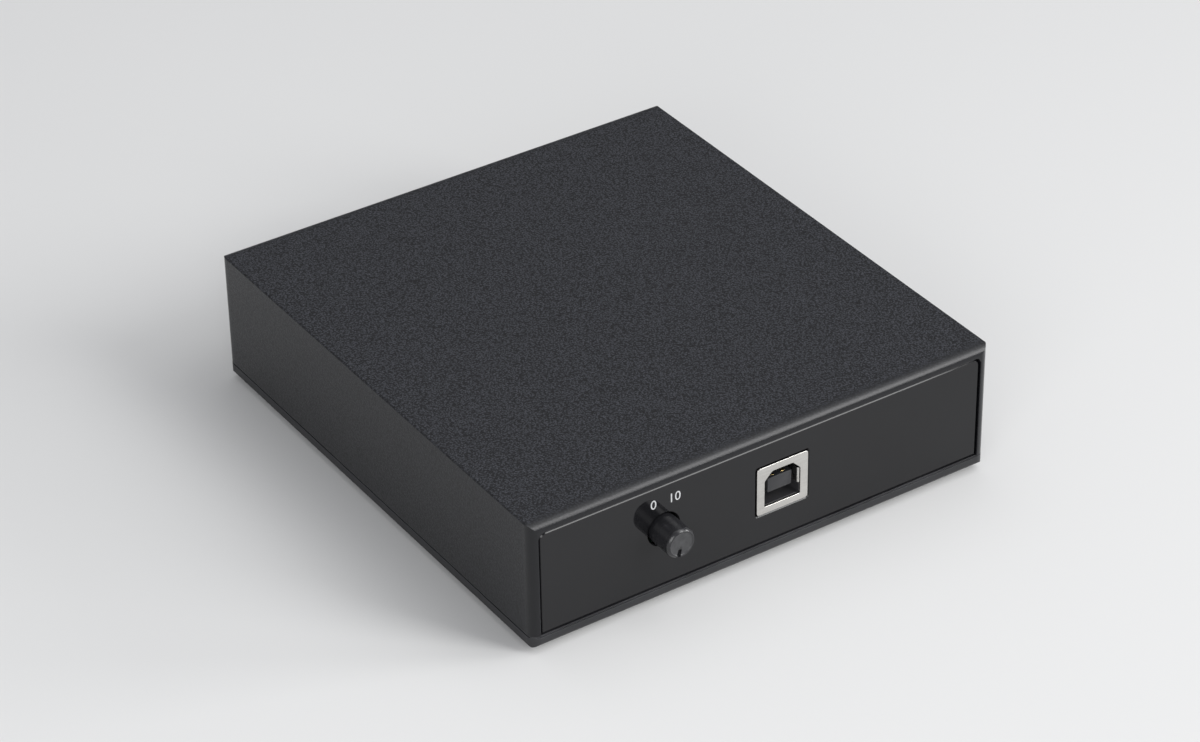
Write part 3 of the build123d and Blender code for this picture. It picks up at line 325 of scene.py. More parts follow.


# ---------------------------------------------------------------- materials
# The edge colours given below are painted highlights along the sharp edges.
LOOKS = {
    "case_powder_coat": powder_coat(),
    "gloss_black": gloss_panel(),
    "board_green": circuit_board(),
    "satin_black": finish(
        "satin_black", (0.009, 0.009, 0.0108), (0.018, 0.0184, 0.021), (0.42, 0.56), 3000.0, 0.03,
        edge=0.25, highlight_colour=(0.06, 0.061, 0.066),
    ),
    "moulded_black": finish(
        "moulded_black", (0.012, 0.012, 0.014), (0.022, 0.022, 0.025), (0.38, 0.52), 5200.0, 0.012,
        edge=0.12, highlight_colour=(0.05, 0.05, 0.054),
    ),
    "tongue_grey": finish(
        "tongue_grey", (0.016, 0.016, 0.018), (0.034, 0.034, 0.037), (0.36, 0.5), 4800.0, 0.015,
        edge=0.12, highlight_colour=(0.07, 0.07, 0.074),
    ),
    "knob_black": finish(
        "knob_black", (0.010, 0.010, 0.0115), (0.021, 0.021, 0.0235), (0.20, 0.30), 6000.0, 0.006,
        edge=0.1, highlight_colour=(0.07, 0.07, 0.074), soft=0.0,
    ),
    "knob_face": finish(
        "knob_face", (0.022, 0.0224, 0.024), (0.050, 0.0505, 0.053), (0.32, 0.46), 4200.0, 0.012,
        patch=700.0, soft=0.0,
    ),
    "rubber": finish("rubber", (0.018, 0.018, 0.018), (0.034, 0.034, 0.034), (0.72, 0.86), 3400.0, 0.03),
    "nickel": finish(
        "nickel", (0.60, 0.585, 0.56), (0.76, 0.745, 0.715), (0.20, 0.34), 2600.0, 0.004, 1.0,
        stretch=(0.08, 1.0, 1.0), soft=0.0,
    ),
    "zinc_screw": finish(
        "zinc_screw", (0.055, 0.055, 0.06), (0.12, 0.12, 0.125), (0.28, 0.42), 4200.0, 0.008, 1.0,
        edge=0.12, highlight_colour=(0.42, 0.41, 0.39), soft=0.0,
    ),
    "gold_contact": finish(
        "gold_contact", (0.78, 0.55, 0.22), (0.92, 0.70, 0.34), (0.14, 0.26), 3800.0, 0.003, 1.0,
        stretch=(1.0, 0.12, 1.0), soft=0.0,
    ),
    "white_insulator": finish(
        "white_insulator", (0.72, 0.71, 0.67), (0.84, 0.83, 0.79), (0.34, 0.48), 4200.0, 0.006, soft=0.0,
    ),
    "red_insulator": finish(
        "red_insulator", (0.42, 0.018, 0.018), (0.60, 0.035, 0.03), (0.32, 0.46), 4200.0, 0.006, soft=0.0,
    ),
    "chip_black": finish(
        "chip_black", (0.020, 0.020, 0.022), (0.036, 0.036, 0.038), (0.48, 0.62), 5200.0, 0.012,
    ),
    "can_sleeve": finish(
        "can_sleeve", (0.018, 0.018, 0.04), (0.035, 0.035, 0.07), (0.22, 0.36), 1400.0, 0.01, coat=0.3,
    ),
    "film_box": finish(
        "film_box", (0.42, 0.075, 0.03), (0.60, 0.13, 0.055), (0.22, 0.34), 1200.0, 0.02, coat=0.3,
    ),
    "coupling_box": finish(
        "coupling_box", (0.035, 0.07, 0.28), (0.06, 0.11, 0.38), (0.24, 0.36), 1600.0, 0.012, coat=0.2,
    ),
    "heatsink_aluminium": finish(
        "heatsink_aluminium", (0.028, 0.028, 0.03), (0.06, 0.06, 0.064), (0.36, 0.5), 2600.0, 0.01, 0.9,
        stretch=(1.0, 1.0, 0.06), edge=0.15, highlight_colour=(0.3, 0.3, 0.3),
    ),
    "choke_ferrite": finish(
        "choke_ferrite", (0.04, 0.04, 0.043), (0.085, 0.085, 0.09), (0.5, 0.68), 2200.0, 0.03,
    ),
    "crystal_can": finish(
        "crystal_can", (0.52, 0.52, 0.50), (0.68, 0.68, 0.66), (0.24, 0.36), 2600.0, 0.004, 1.0,
    ),
    "brass": finish("brass", (0.66, 0.48, 0.22), (0.80, 0.62, 0.32), (0.22, 0.36), 2600.0, 0.006, 1.0),
    "ceramic": finish("ceramic", (0.36, 0.28, 0.19), (0.50, 0.40, 0.29), (0.4, 0.55), 2600.0, 0.012),
    "nylon": finish("nylon", (0.70, 0.70, 0.65), (0.82, 0.82, 0.78), (0.38, 0.52), 2600.0, 0.01),
    "print_grey": finish(
        "print_grey", (0.42, 0.425, 0.43), (0.56, 0.565, 0.57), (0.5, 0.62), 5200.0, 0.004, soft=0.0,
    ),
}

# Each CAD node gets the look of its slot, but the moulded blocks have a finer skin than the tray.
NODE_SLOT = {row["node"]: row["material_slot"] for row in frame["record"]["subparts"]}
MOULDED = {"input_jack_block", "output_jack_block", "power_jack_body"}
for node_name, cad in nodes.items():
    look = "moulded_black" if node_name in MOULDED else NODE_SLOT[node_name]
    cad.data.materials.clear()
    cad.data.materials.append(LOOKS[look])

# ---------------------------------------------------------------- mesh helpers
SLACK = 0.02  # allowance when a place or a radius is compared
TIP_SLOPE = 0.4  # width of the slope round the tip of the data socket's tongue


def add_piece(name, bm, looks, body, replaces=(), angle=32.0):
    """Object from a bmesh in millimetres, shaded smooth below the angle, riding on a body."""
    bmesh.ops.scale(bm, vec=(MM, MM, MM), verts=bm.verts)
    bmesh.ops.recalc_face_normals(bm, faces=bm.faces)
    mesh = bpy.data.meshes.new(name)
    bm.to_mesh(mesh)
    bm.free()
    for look in [looks] if isinstance(looks, str) else looks:
        mesh.materials.append(LOOKS[look])
    mesh.polygons.foreach_set("use_smooth", [True] * len(mesh.polygons))
    mesh.set_sharp_from_angle(angle=math.radians(angle))
    piece = bpy.data.objects.new(name, mesh)
    scene.collection.objects.link(piece)
    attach(piece, body)
    if replaces:
        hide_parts(*replaces)
    return piece


def merge(bm, part):
    """Moves what one bmesh holds into another."""
    holder = bpy.data.meshes.new("part")
    part.to_mesh(holder)
    part.free()
    bm.from_mesh(holder)
    bpy.data.meshes.remove(holder)


def carve(piece, bm):
    """Cuts a closed bmesh in millimetres out of a piece."""
    bmesh.ops.recalc_face_normals(bm, faces=bm.faces)
    bmesh.ops.scale(bm, vec=(MM, MM, MM), verts=bm.verts)
    mesh = bpy.data.meshes.new("cutter")
    bm.to_mesh(mesh)
    bm.free()
    cutter = bpy.data.objects.new("cutter", mesh)
    scene.collection.objects.link(cutter)
    cut = piece.modifiers.new("cut", "BOOLEAN")
    cut.operation = "DIFFERENCE"
    cut.solver = "EXACT"
    cut.object = cutter
    graph = bpy.context.evaluated_depsgraph_get()
    carved = bpy.data.meshes.new_from_object(piece.evaluated_get(graph))
    piece.modifiers.clear()
    piece.data = carved
    bpy.data.objects.remove(cutter)


def arc_corner(before, corner, after, radius, steps):
    """Points that round one corner of a path."""
    to_before, to_after = (before - corner), (after - corner)
    reach = min(radius, to_before.length * 0.49, to_after.length * 0.49)
    start = corner + to_before.normalized() * reach
    end = corner + to_after.normalized() * reach
    points = []
    for i in range(steps + 1):
        t = i / steps
        points.append(start * (1 - t) ** 2 + corner * 2 * t * (1 - t) + end * t**2)
    return points


def rounded_path(points, closed, steps=4):
    """Path through (a, b) or (a, b, reach) points, each corner eased over its reach."""
    made = []
    flat = [Vector((p[0], p[1])) for p in points]
    for i, corner in enumerate(flat):
        reach = points[i][2] if len(points[i]) > 2 else 0.0
        at_end = not closed and i in (0, len(flat) - 1)
        if reach <= 0 or at_end:
            made.append(corner)
        else:
            made += arc_corner(flat[i - 1], corner, flat[(i + 1) % len(flat)], reach, steps)
    return made


def box_outline(a, b, width, height, reach, steps=5):
    """Rectangle round a place in a plane, with rounded corners."""
    half_w, half_h = width / 2, height / 2
    corners = [
        (a - half_w, b - half_h, reach),
        (a + half_w, b - half_h, reach),
        (a + half_w, b + half_h, reach),
        (a - half_w, b + half_h, reach),
    ]
    return rounded_path(corners, True, steps)


def circle_outline(a, b, radius, count=64):
    """Circle round a place in a plane."""
    turns = [2 * math.pi * i / count for i in range(count)]
    return [(a + radius * math.cos(t), b + radius * math.sin(t)) for t in turns]


def skin(bm, rings):
    """Skin over rings of equal count, closed at both ends."""
    made = [[bm.verts.new(p) for p in ring] for ring in rings]
    for a, b in zip(made, made[1:]):
        for i in range(len(a)):
            j = (i + 1) % len(a)
            bm.faces.new((a[i], a[j], b[j], b[i]))
    bm.faces.new(made[0])
    bm.faces.new(made[-1])


def prism(bm, path, low, high, axis=2):
    """Closed path in a plane, drawn out along X (0), Y (1) or Z (2)."""
    across = {0: (1, 2), 1: (0, 2), 2: (0, 1)}[axis]
    rings = []
    for level in (low, high):
        ring = []
        for a, b in path:
            spot = [0.0, 0.0, 0.0]
            spot[across[0]], spot[across[1]], spot[axis] = a, b, level
            ring.append(spot)
        rings.append(ring)
    skin(bm, rings)


def lathe(bm, centre, profile, segments, closed=False, steps=4, wobble=None):
    """Turned form round an axis along Y. The profile is (radius, y, rounding); wobble changes the radius."""
    centre_x, centre_z = centre
    rings = []
    for radius, y in rounded_path(profile, closed, steps):
        if radius < 1e-6:
            rings.append([bm.verts.new((centre_x, y, centre_z))])
            continue
        ring = []
        for i in range(segments):
            turn = 2 * math.pi * i / segments
            r = wobble(radius, turn, y) if wobble else radius
            ring.append(bm.verts.new((centre_x + r * math.cos(turn), y, centre_z + r * math.sin(turn))))
        rings.append(ring)
    pairs = list(zip(rings, rings[1:])) + ([(rings[-1], rings[0])] if closed else [])
    for a, b in pairs:
        for i in range(segments):
            j = (i + 1) % segments
            if len(a) == 1:
                corners = (a[0], b[i], b[j])
            elif len(b) == 1:
                corners = (a[i], a[j], b[0])
            else:
                corners = (a[i], a[j], b[j], b[i])
            bm.faces.new(corners)


def stand_up(bm, curve, x, y, z):
    """Moves the mesh of a flat curve into a bmesh, stood up to face forward with its origin at a place."""
    holder = bpy.data.objects.new("flat", curve)
    scene.collection.objects.link(holder)
    graph = bpy.context.evaluated_depsgraph_get()
    mesh = bpy.data.meshes.new_from_object(holder.evaluated_get(graph))
    mesh.transform(Matrix(((1, 0, 0, x), (0, 0, -1, y), (0, 1, 0, z), (0, 0, 0, 1))))
    bm.from_mesh(mesh)
    bpy.data.objects.remove(holder)
    bpy.data.curves.remove(curve)
    bpy.data.meshes.remove(mesh)


def plate(bm, outlines, front, thickness, bevel, steps=3):
    """Flat plate seen from the front: a first outline with holes in it, and softened edges all round."""
    curve = bpy.data.curves.new("outline", "CURVE")
    curve.dimensions = "2D"
    curve.fill_mode = "BOTH"
    for outline in outlines:
        spline = curve.splines.new("POLY")
        spline.points.add(len(outline) - 1)
        for point, (x, z) in zip(spline.points, outline):
            point.co = (x, z, 0.0, 1.0)
        spline.use_cyclic_u = True
    curve.extrude = thickness / 2 - bevel
    curve.bevel_depth = bevel
    curve.bevel_resolution = steps
    curve.offset = -bevel
    stand_up(bm, curve, 0.0, front + thickness / 2, 0.0)
    bmesh.ops.remove_doubles(bm, verts=bm.verts, dist=0.0005)


def bevel_edges(bm, edges, width, segments):
    """Flat or rounded bevel on some edges."""
    bmesh.ops.bevel(
        bm, geom=edges, offset=width, offset_type="OFFSET", segments=segments, profile=0.5,
        affect="EDGES", clamp_overlap=True,
    )


def soften_edges(bm, width):
    """Rounds every edge where the faces turn by more than 30 degrees."""
    bmesh.ops.recalc_face_normals(bm, faces=bm.faces)
    sharp = [
        edge
        for edge in bm.edges
        if len(edge.link_faces) == 2 and edge.calc_face_angle(0.0) > math.radians(30.0)
    ]
    bevel_edges(bm, sharp, width, 2)


def tapered_tip(bm, tip):
    """Slopes the edges of the face that looks forward inside a box of (low x, high x, low z, high z)."""
    low_x, high_x, low_z, high_z = tip
    ahead = []
    for face in bm.faces:
        spot = face.calc_center_median()
        face.normal_update()
        if face.normal.y < -0.99 and low_x < spot.x < high_x and low_z < spot.z < high_z:
            ahead.append(face)
    face = min(ahead, key=lambda f: f.calc_center_median().y)
    bevel_edges(bm, list(face.edges), TIP_SLOPE, 1)


def softened(node, width, look=None, tip=None):
    """Stands for a node of the enclosure with its shape and place kept and its sharp edges rounded."""
    bm = bmesh.new()
    bm.from_mesh(nodes[node].data)
    bmesh.ops.scale(bm, vec=(1 / MM, 1 / MM, 1 / MM), verts=bm.verts)
    bmesh.ops.remove_doubles(bm, verts=bm.verts, dist=0.002)
    bmesh.ops.dissolve_limit(bm, angle_limit=math.radians(1.0), verts=bm.verts, edges=bm.edges)
    if tip:
        tapered_tip(bm, tip)
    soften_edges(bm, width)
    slot = NODE_SLOT[node]
    add_piece(f"{node}_detail", bm, look or slot, "enclosure", (node,))


# ---------------------------------------------------------------- front panel
plate_low, plate_high = span("front_panel")
usb_low, usb_high = span("usb_shell")
knob_low, knob_high = span("level_knob")
USB_HEIGHT = 10.9
usb_width = usb_high.x - usb_low.x
usb_x = (usb_low.x + usb_high.x) / 2
usb_z = usb_high.z - USB_HEIGHT / 2
knob_x = (knob_low.x + knob_high.x) / 2
knob_z = (knob_low.z + knob_high.z) / 2
knob_radius = (knob_high.x - knob_low.x) / 2
panel_y = plate_low.y
HOLE_GAP = 0.2  # clearance round what passes through a panel
KNOB_HOLE_GAP = 0.35
USB_HOLE_CORNER = 0.5
PANEL_CORNER = 1.6
PANEL_FOOT_CORNER = 0.2
PANEL_EDGE = 0.22

panel_outline = rounded_path(
    [
        (plate_low.x, plate_low.z, PANEL_FOOT_CORNER),
        (plate_high.x, plate_low.z, PANEL_FOOT_CORNER),
        (plate_high.x, plate_high.z, PANEL_CORNER),
        (plate_low.x, plate_high.z, PANEL_CORNER),
    ],
    True,
    14,
)
usb_hole = box_outline(
    usb_x, usb_z, usb_width + 2 * HOLE_GAP, USB_HEIGHT + 2 * HOLE_GAP, USB_HOLE_CORNER,
)
knob_hole = circle_outline(knob_x, knob_z, knob_radius + KNOB_HOLE_GAP, 72)
bm = bmesh.new()
plate(bm, [panel_outline, usb_hole, knob_hole], panel_y, plate_high.y - panel_y, PANEL_EDGE, 0)
add_piece("front_plate", bm, "gloss_black", "enclosure", ("front_panel",))

# ---------------------------------------------------------------- level knob
KNOB_BACK_EDGE = 0.15
KNOB_RIM = 0.45  # rounding of the front edge
RIM_FLAT = 0.22  # flat ring inside the rounding
DISH_DEPTH = 0.14
DISH_WALL = 0.12  # width of the slope down into the dish
NOTCH_WIDTH = 0.85
NOTCH_START = 1.2  # distance from the axis
NOTCH_DEPTH = 0.6
NOTCH_ANGLE = math.radians(15.0)  # clockwise from straight down at the low stop
OVERCUT = 1.0  # how far a cutter starts outside what it cuts

front_y = knob_low.y
dish_y = front_y + DISH_DEPTH
rim_in = knob_radius - KNOB_RIM - RIM_FLAT
bm = bmesh.new()
lathe(
    bm,
    (knob_x, knob_z),
    [
        (0.0, knob_high.y),
        (knob_radius - KNOB_BACK_EDGE, knob_high.y, 0.1),
        (knob_radius, knob_high.y - KNOB_BACK_EDGE, 0.1),
        (knob_radius, front_y + KNOB_RIM, 0.3),
        (knob_radius - KNOB_RIM, front_y, 0.3),
        (rim_in, front_y, 0.08),
        (rim_in - DISH_WALL, dish_y, 0.08),
        (0.0, dish_y),
    ],
    96,
)
for face in bm.faces:
    centre = face.calc_center_median()
    off = math.hypot(centre.x - knob_x, centre.z - knob_z)
    if centre.y < dish_y + SLACK and off < rim_in + SLACK:
        face.material_index = 1
knob_looks = ("knob_black", "knob_face")
knob = add_piece("level_knob_detail", bm, knob_looks, "level_control", ("level_knob",))

notch = [
    (-NOTCH_WIDTH / 2, -knob_radius - OVERCUT),
    (NOTCH_WIDTH / 2, -knob_radius - OVERCUT),
    (NOTCH_WIDTH / 2, -NOTCH_START, 0.3),
    (-NOTCH_WIDTH / 2, -NOTCH_START, 0.3),
]
bm = bmesh.new()
prism(bm, rounded_path(notch, True, 5), -OVERCUT, NOTCH_DEPTH, axis=1)
bmesh.ops.rotate(bm, cent=(0, 0, 0), matrix=Matrix.Rotation(NOTCH_ANGLE, 3, "Y"), verts=bm.verts)
bmesh.ops.translate(bm, vec=(knob_x, front_y, knob_z), verts=bm.verts)
carve(knob, bm)

# ---------------------------------------------------------------- data socket
USB_SHEET = 0.4
USB_CORNER = 0.7
USB_INNER_CORNER = 0.3
FACE_EDGE = 0.07
WALL_EDGE = 0.05
FACE_OVERLAP = 0.1  # how far the walls reach into the face
MOUTH_HALF_WIDTH = 4.225
MOUTH_HALF_HEIGHT = 3.89
MOUTH_CUT = 1.8  # size of the two cut upper corners
# A leaf spring lies along each wall of the mouth. A row is its distance outward from the wall, its distance
# behind the face, and the rounding there.
LEAF = (
    (0.3, 0.46, 0.0),
    (0.03, 0.48, 0.08),
    (-0.30, 0.93, 0.2),
    (-0.38, 4.2, 0.9),
    (-0.02, 6.0, 0.0),
    (0.2, 6.0, 0.0),
    (-0.14, 4.2, 0.9),
    (-0.06, 1.1, 0.2),
)
LEAF_HEIGHT = 3.4
LEG_BEHIND_FACE = 11.2
LEG_BELOW_MIDDLE = 2.7
LEG_HALF_WIDTH = 1.0
LEG_HALF_TIP = 0.35
LEG_TAPER = 0.9  # length of the pointed end
TONGUE_HALF_WIDTH = 1.0  # of the middle part where the tongue's front face is looked for
TONGUE_HALF_HEIGHT = 1.2

left_wall, right_wall = usb_x - MOUTH_HALF_WIDTH, usb_x + MOUTH_HALF_WIDTH
mouth_floor, mouth_roof = usb_z - MOUTH_HALF_HEIGHT, usb_z + MOUTH_HALF_HEIGHT
mouth = [
    (left_wall, mouth_floor, 0.25),
    (right_wall, mouth_floor, 0.25),
    (right_wall, mouth_roof - MOUTH_CUT, 0.35),
    (right_wall - MOUTH_CUT, mouth_roof, 0.35),
    (left_wall + MOUTH_CUT, mouth_roof, 0.35),
    (left_wall, mouth_roof - MOUTH_CUT, 0.35),
]
shell_outline = box_outline(usb_x, usb_z, usb_width, USB_HEIGHT, USB_CORNER)
shell_inside = box_outline(
    usb_x, usb_z, usb_width - 2 * USB_SHEET, USB_HEIGHT - 2 * USB_SHEET, USB_INNER_CORNER,
)
walls_y = usb_low.y + USB_SHEET - FACE_OVERLAP
bm = bmesh.new()
plate(bm, [shell_outline, rounded_path(mouth, True)], usb_low.y, USB_SHEET, FACE_EDGE)
plate(bm, [shell_outline, shell_inside], walls_y, usb_high.y - walls_y, WALL_EDGE)
for side in (-1, 1):
    wall = usb_x + side * MOUTH_HALF_WIDTH
    leaf = [(wall + side * out, usb_low.y + behind, reach) for out, behind, reach in LEAF]
    prism(bm, rounded_path(leaf, True, 3), usb_z - LEAF_HEIGHT / 2, usb_z + LEAF_HEIGHT / 2)
    leg_x = usb_x + side * (usb_width - USB_SHEET) / 2
    leg_y = usb_low.y + LEG_BEHIND_FACE
    leg_top = usb_z - LEG_BELOW_MIDDLE
    leg = [
        (leg_y - LEG_HALF_WIDTH, leg_top),
        (leg_y - LEG_HALF_WIDTH, usb_low.z + LEG_TAPER, 0.2),
        (leg_y - LEG_HALF_TIP, usb_low.z, 0.2),
        (leg_y + LEG_HALF_TIP, usb_low.z, 0.2),
        (leg_y + LEG_HALF_WIDTH, usb_low.z + LEG_TAPER, 0.2),
        (leg_y + LEG_HALF_WIDTH, leg_top),
    ]
    prism(bm, rounded_path(leg, True, 2), leg_x - USB_SHEET / 2, leg_x + USB_SHEET / 2, axis=0)
add_piece("usb_shell_detail", bm, "nickel", "enclosure", ("usb_shell",))
tongue = (
    usb_x - TONGUE_HALF_WIDTH,
    usb_x + TONGUE_HALF_WIDTH,
    usb_z - TONGUE_HALF_HEIGHT,
    usb_z + TONGUE_HALF_HEIGHT,
)
softened("usb_insulator", 0.07, look="tongue_grey", tip=tongue)
softened("usb_contacts", 0.05)

# ---------------------------------------------------------------- rear panel
BARREL_RADIUS = 4.15
BARREL_BORE = 3.55
CORE_RADIUS = 3.5
COLLAR_RADIUS = 4.4
POST_HOLE = 2.2
REAR_EDGE = 0.12
back_low, back_high = span("rear_panel")
barrels = {"input": span("input_jack_barrels"), "output": span("output_jack_barrels")}
jack_x = {}
for pair, (low, high) in barrels.items():
    jack_x[pair] = (low.x + BARREL_RADIUS, high.x - BARREL_RADIUS)
jack_z = middle("input_jack_barrels").z
pin = middle("power_jack_pin")
ground = middle("ground_clamp_washer")

back_outline = [
    (back_low.x, back_low.z),
    (back_high.x, back_low.z),
    (back_high.x, back_high.z),
    (back_low.x, back_high.z),
]
holes = [circle_outline(x, jack_z, CORE_RADIUS + HOLE_GAP) for pair in jack_x.values() for x in pair]
holes.append(circle_outline(pin.x, pin.z, COLLAR_RADIUS + HOLE_GAP))
holes.append(circle_outline(ground.x, ground.z, POST_HOLE, 40))
bm = bmesh.new()
plate(bm, [back_outline, *holes], back_low.y, back_high.y - back_low.y, REAR_EDGE)
add_piece("rear_plate", bm, "satin_black", "enclosure", ("rear_panel",))

# ---------------------------------------------------------------- phono sockets
GROOVE_START = 1.2  # distance of the ring groove from the panel
GROOVE_END = 1.85
GROOVE_WALL = 0.1
GROOVE_DEPTH = 0.16
BARREL_LEAD = 0.3  # how far the open end slopes in, over a length
BARREL_LEAD_LENGTH = 0.5
BORE_EDGE = 0.12
BORE_EDGE_LENGTH = 0.14
CORE_EDGE = 0.25
CORE_EDGE_LENGTH = 0.3
PIN_HOLE = 2.15
FUNNEL = 0.45  # how far the pin's hole widens at its mouth, over a depth
FUNNEL_DEPTH = 0.4
SPLITS = 4
SLIT = 0.12  # share of a quarter that is open at each end of it
# Rows along a split spring: distance from its tip, inner radius, outer radius.
SPRING_ROWS = ((2.4, 1.62, 1.87), (0.7, 1.58, 1.83), (0.0, 1.8, 2.02))
SPRING_FOOT = (1.75, 2.0)  # inner and outer radius at its inner end
ARC_STEPS = 4

jack_front, jack_end = barrels["input"][0].y, barrels["input"][1].y
groove_floor = BARREL_RADIUS - GROOVE_DEPTH
barrel = [
    (BARREL_BORE, jack_front),
    (BARREL_RADIUS, jack_front, 0.05),
    (BARREL_RADIUS, jack_front + GROOVE_START, 0.05),
    (groove_floor, jack_front + GROOVE_START + GROOVE_WALL, 0.05),
    (groove_floor, jack_front + GROOVE_END - GROOVE_WALL, 0.05),
    (BARREL_RADIUS, jack_front + GROOVE_END, 0.05),
    (BARREL_RADIUS, jack_end - BARREL_LEAD_LENGTH, 0.15),
    (BARREL_RADIUS - BARREL_LEAD, jack_end, 0.12),
    (BARREL_BORE + BORE_EDGE, jack_end, 0.06),
    (BARREL_BORE, jack_end - BORE_EDGE_LENGTH, 0.05),
]
for pair, places in jack_x.items():
    bm = bmesh.new()
    for x in places:
        lathe(bm, (x, jack_z), barrel, 72, closed=True, steps=3)
    name = f"{pair}_barrels_detail"
    add_piece(name, bm, "gold_contact", "enclosure", (f"{pair}_jack_barrels",))

core_low, core_high = span("left_jack_insulators")
core = [
    (PIN_HOLE, core_low.y),
    (CORE_RADIUS, core_low.y),
    (CORE_RADIUS, core_high.y - CORE_EDGE_LENGTH, 0.15),
    (CORE_RADIUS - CORE_EDGE, core_high.y, 0.15),
    (PIN_HOLE + FUNNEL, core_high.y, 0.15),
    (PIN_HOLE, core_high.y - FUNNEL_DEPTH, 0.15),
]
for which, (side, look) in enumerate((("left", "white_insulator"), ("right", "red_insulator"))):
    bm = bmesh.new()
    for pair in ("output", "input"):
        lathe(bm, (jack_x[pair][which], jack_z), core, 64, closed=True, steps=3)
    add_piece(f"{side}_cores_detail", bm, look, "enclosure", (f"{side}_jack_insulators",))

contact_low, contact_high = span("jack_centre_contacts")
stations = [(contact_low.y, *SPRING_FOOT)]
stations += [(contact_high.y - back, inside, outside) for back, inside, outside in SPRING_ROWS]
bm = bmesh.new()
for x in (*jack_x["output"], *jack_x["input"]):
    for quarter in range(SPLITS):
        first = 2 * math.pi * (quarter + SLIT) / SPLITS
        last = 2 * math.pi * (quarter + 1 - SLIT) / SPLITS
        turns = [first + (last - first) * step / ARC_STEPS for step in range(ARC_STEPS + 1)]
        rings = []
        for y, inside, outside in stations:
            loop = [(inside, turn) for turn in turns] + [(outside, turn) for turn in reversed(turns)]
            rings.append([(x + r * math.cos(turn), y, jack_z + r * math.sin(turn)) for r, turn in loop])
        skin(bm, rings)
add_piece(
    "centre_contacts_detail", bm, "gold_contact", "enclosure", ("jack_centre_contacts",),
)

# ---------------------------------------------------------------- power socket
PIN_RADIUS = 1.0
PIN_TIP_RADIUS = 0.35
PIN_TIP_LENGTH = 0.7
softened("power_jack_body", 0.15, look="moulded_black")
pin_low, pin_high = span("power_jack_pin")
power_pin = [
    (0.0, pin_low.y),
    (PIN_RADIUS, pin_low.y),
    (PIN_RADIUS, pin_high.y - PIN_TIP_LENGTH, 0.4),
    (PIN_TIP_RADIUS, pin_high.y, 0.3),
    (0.0, pin_high.y),
]
bm = bmesh.new()
lathe(bm, (pin.x, pin.z), power_pin, 32)
add_piece("power_pin_detail", bm, "nickel", "enclosure", ("power_jack_pin",))
softened("power_jack_spring", 0.06)

# ---------------------------------------------------------------- ground post
STUD_RADIUS = 1.95
STUD_TIP_EDGE = 0.45
THREAD_PITCH = 0.7
THREAD_DEPTH = 0.3
THREAD_RINGS = 8  # rings of points to a turn
THREAD_END = 0.4  # plain length at the tip
THREAD_CREST = 1.25  # above 1, it leaves the crests flat
STUD_SINK = 0.01  # how far under the shoulder's face the plain core ends
SHOULDER_LENGTH = 1.5
SHOULDER_RADIUS = 4.4  # to its six corners
SHOULDER_EDGE = 0.16
WASHER_BORE = 2.0
WASHER_RADIUS = 4.5
NUT_RADIUS = 4.9
NUT_NECK = 3.6
NECK_LENGTH = 1.2
GRIP_INNER_EDGE = 0.35
GRIP_OUTER_EDGE = 0.5
FLUTES = 12
FLUTE_DEPTH = 0.5
FLUTE_START = 0.35  # height of the wave up to which the radius stays full
FLUTE_POWER = 1.5  # above 1, it rounds the flutes' edges
GRIP_LEAST = NUT_NECK + 0.4  # smallest radius that is fluted
NUT_BORE_EDGE = 0.5
NUT_BORE_EDGE_LENGTH = 0.4


def thread(radius, turn, y):
    """Radius of the stud with its screw thread, where it has one."""
    if radius < STUD_RADIUS - SLACK:
        return radius
    phase = (y / THREAD_PITCH - turn / (2 * math.pi)) % 1.0
    crest = 1.0 - abs(2.0 * phase - 1.0)
    return radius - THREAD_DEPTH * (1.0 - min(1.0, crest * THREAD_CREST))


def fluted(radius, turn, y):
    """Radius of the thumb nut with the rounded flutes of its grip, the same all along it."""
    if radius < GRIP_LEAST:
        return radius
    wave = math.cos(turn * FLUTES)
    return radius - FLUTE_DEPTH * max(0.0, (wave - FLUTE_START) / (1.0 - FLUTE_START)) ** FLUTE_POWER


post_low, post_high = span("ground_post")
shoulder_y = back_high.y + SHOULDER_LENGTH
thread_core = STUD_RADIUS - THREAD_DEPTH
ring_count = int((post_high.y - THREAD_END - shoulder_y) / (THREAD_PITCH / THREAD_RINGS)) + 1
stud = [(0.0, post_low.y), (thread_core, post_low.y), (thread_core, shoulder_y - STUD_SINK)]
stud += [(STUD_RADIUS, shoulder_y + i * THREAD_PITCH / THREAD_RINGS) for i in range(ring_count)]
stud += [(STUD_RADIUS - STUD_TIP_EDGE, post_high.y), (0.0, post_high.y)]
bm = bmesh.new()
lathe(bm, (ground.x, ground.z), stud, 40, wobble=thread)
shoulder = bmesh.new()
hexagon = circle_outline(ground.x, ground.z, SHOULDER_RADIUS, 6)
prism(shoulder, hexagon, back_high.y, shoulder_y, axis=1)
soften_edges(shoulder, SHOULDER_EDGE)
merge(bm, shoulder)
add_piece("ground_post_detail", bm, "gold_contact", "enclosure", ("ground_post",))

washer_low, washer_high = span("ground_clamp_washer")
washer = [
    (WASHER_BORE, washer_low.y, 0.06),
    (WASHER_RADIUS, washer_low.y, 0.14),
    (WASHER_RADIUS, washer_high.y, 0.14),
    (WASHER_BORE, washer_high.y, 0.06),
]
bm = bmesh.new()
lathe(bm, (ground.x, ground.z), washer, 72, closed=True, steps=3)
add_piece(
    "ground_washer_detail", bm, "gold_contact", "ground_washer", ("ground_clamp_washer",),
)

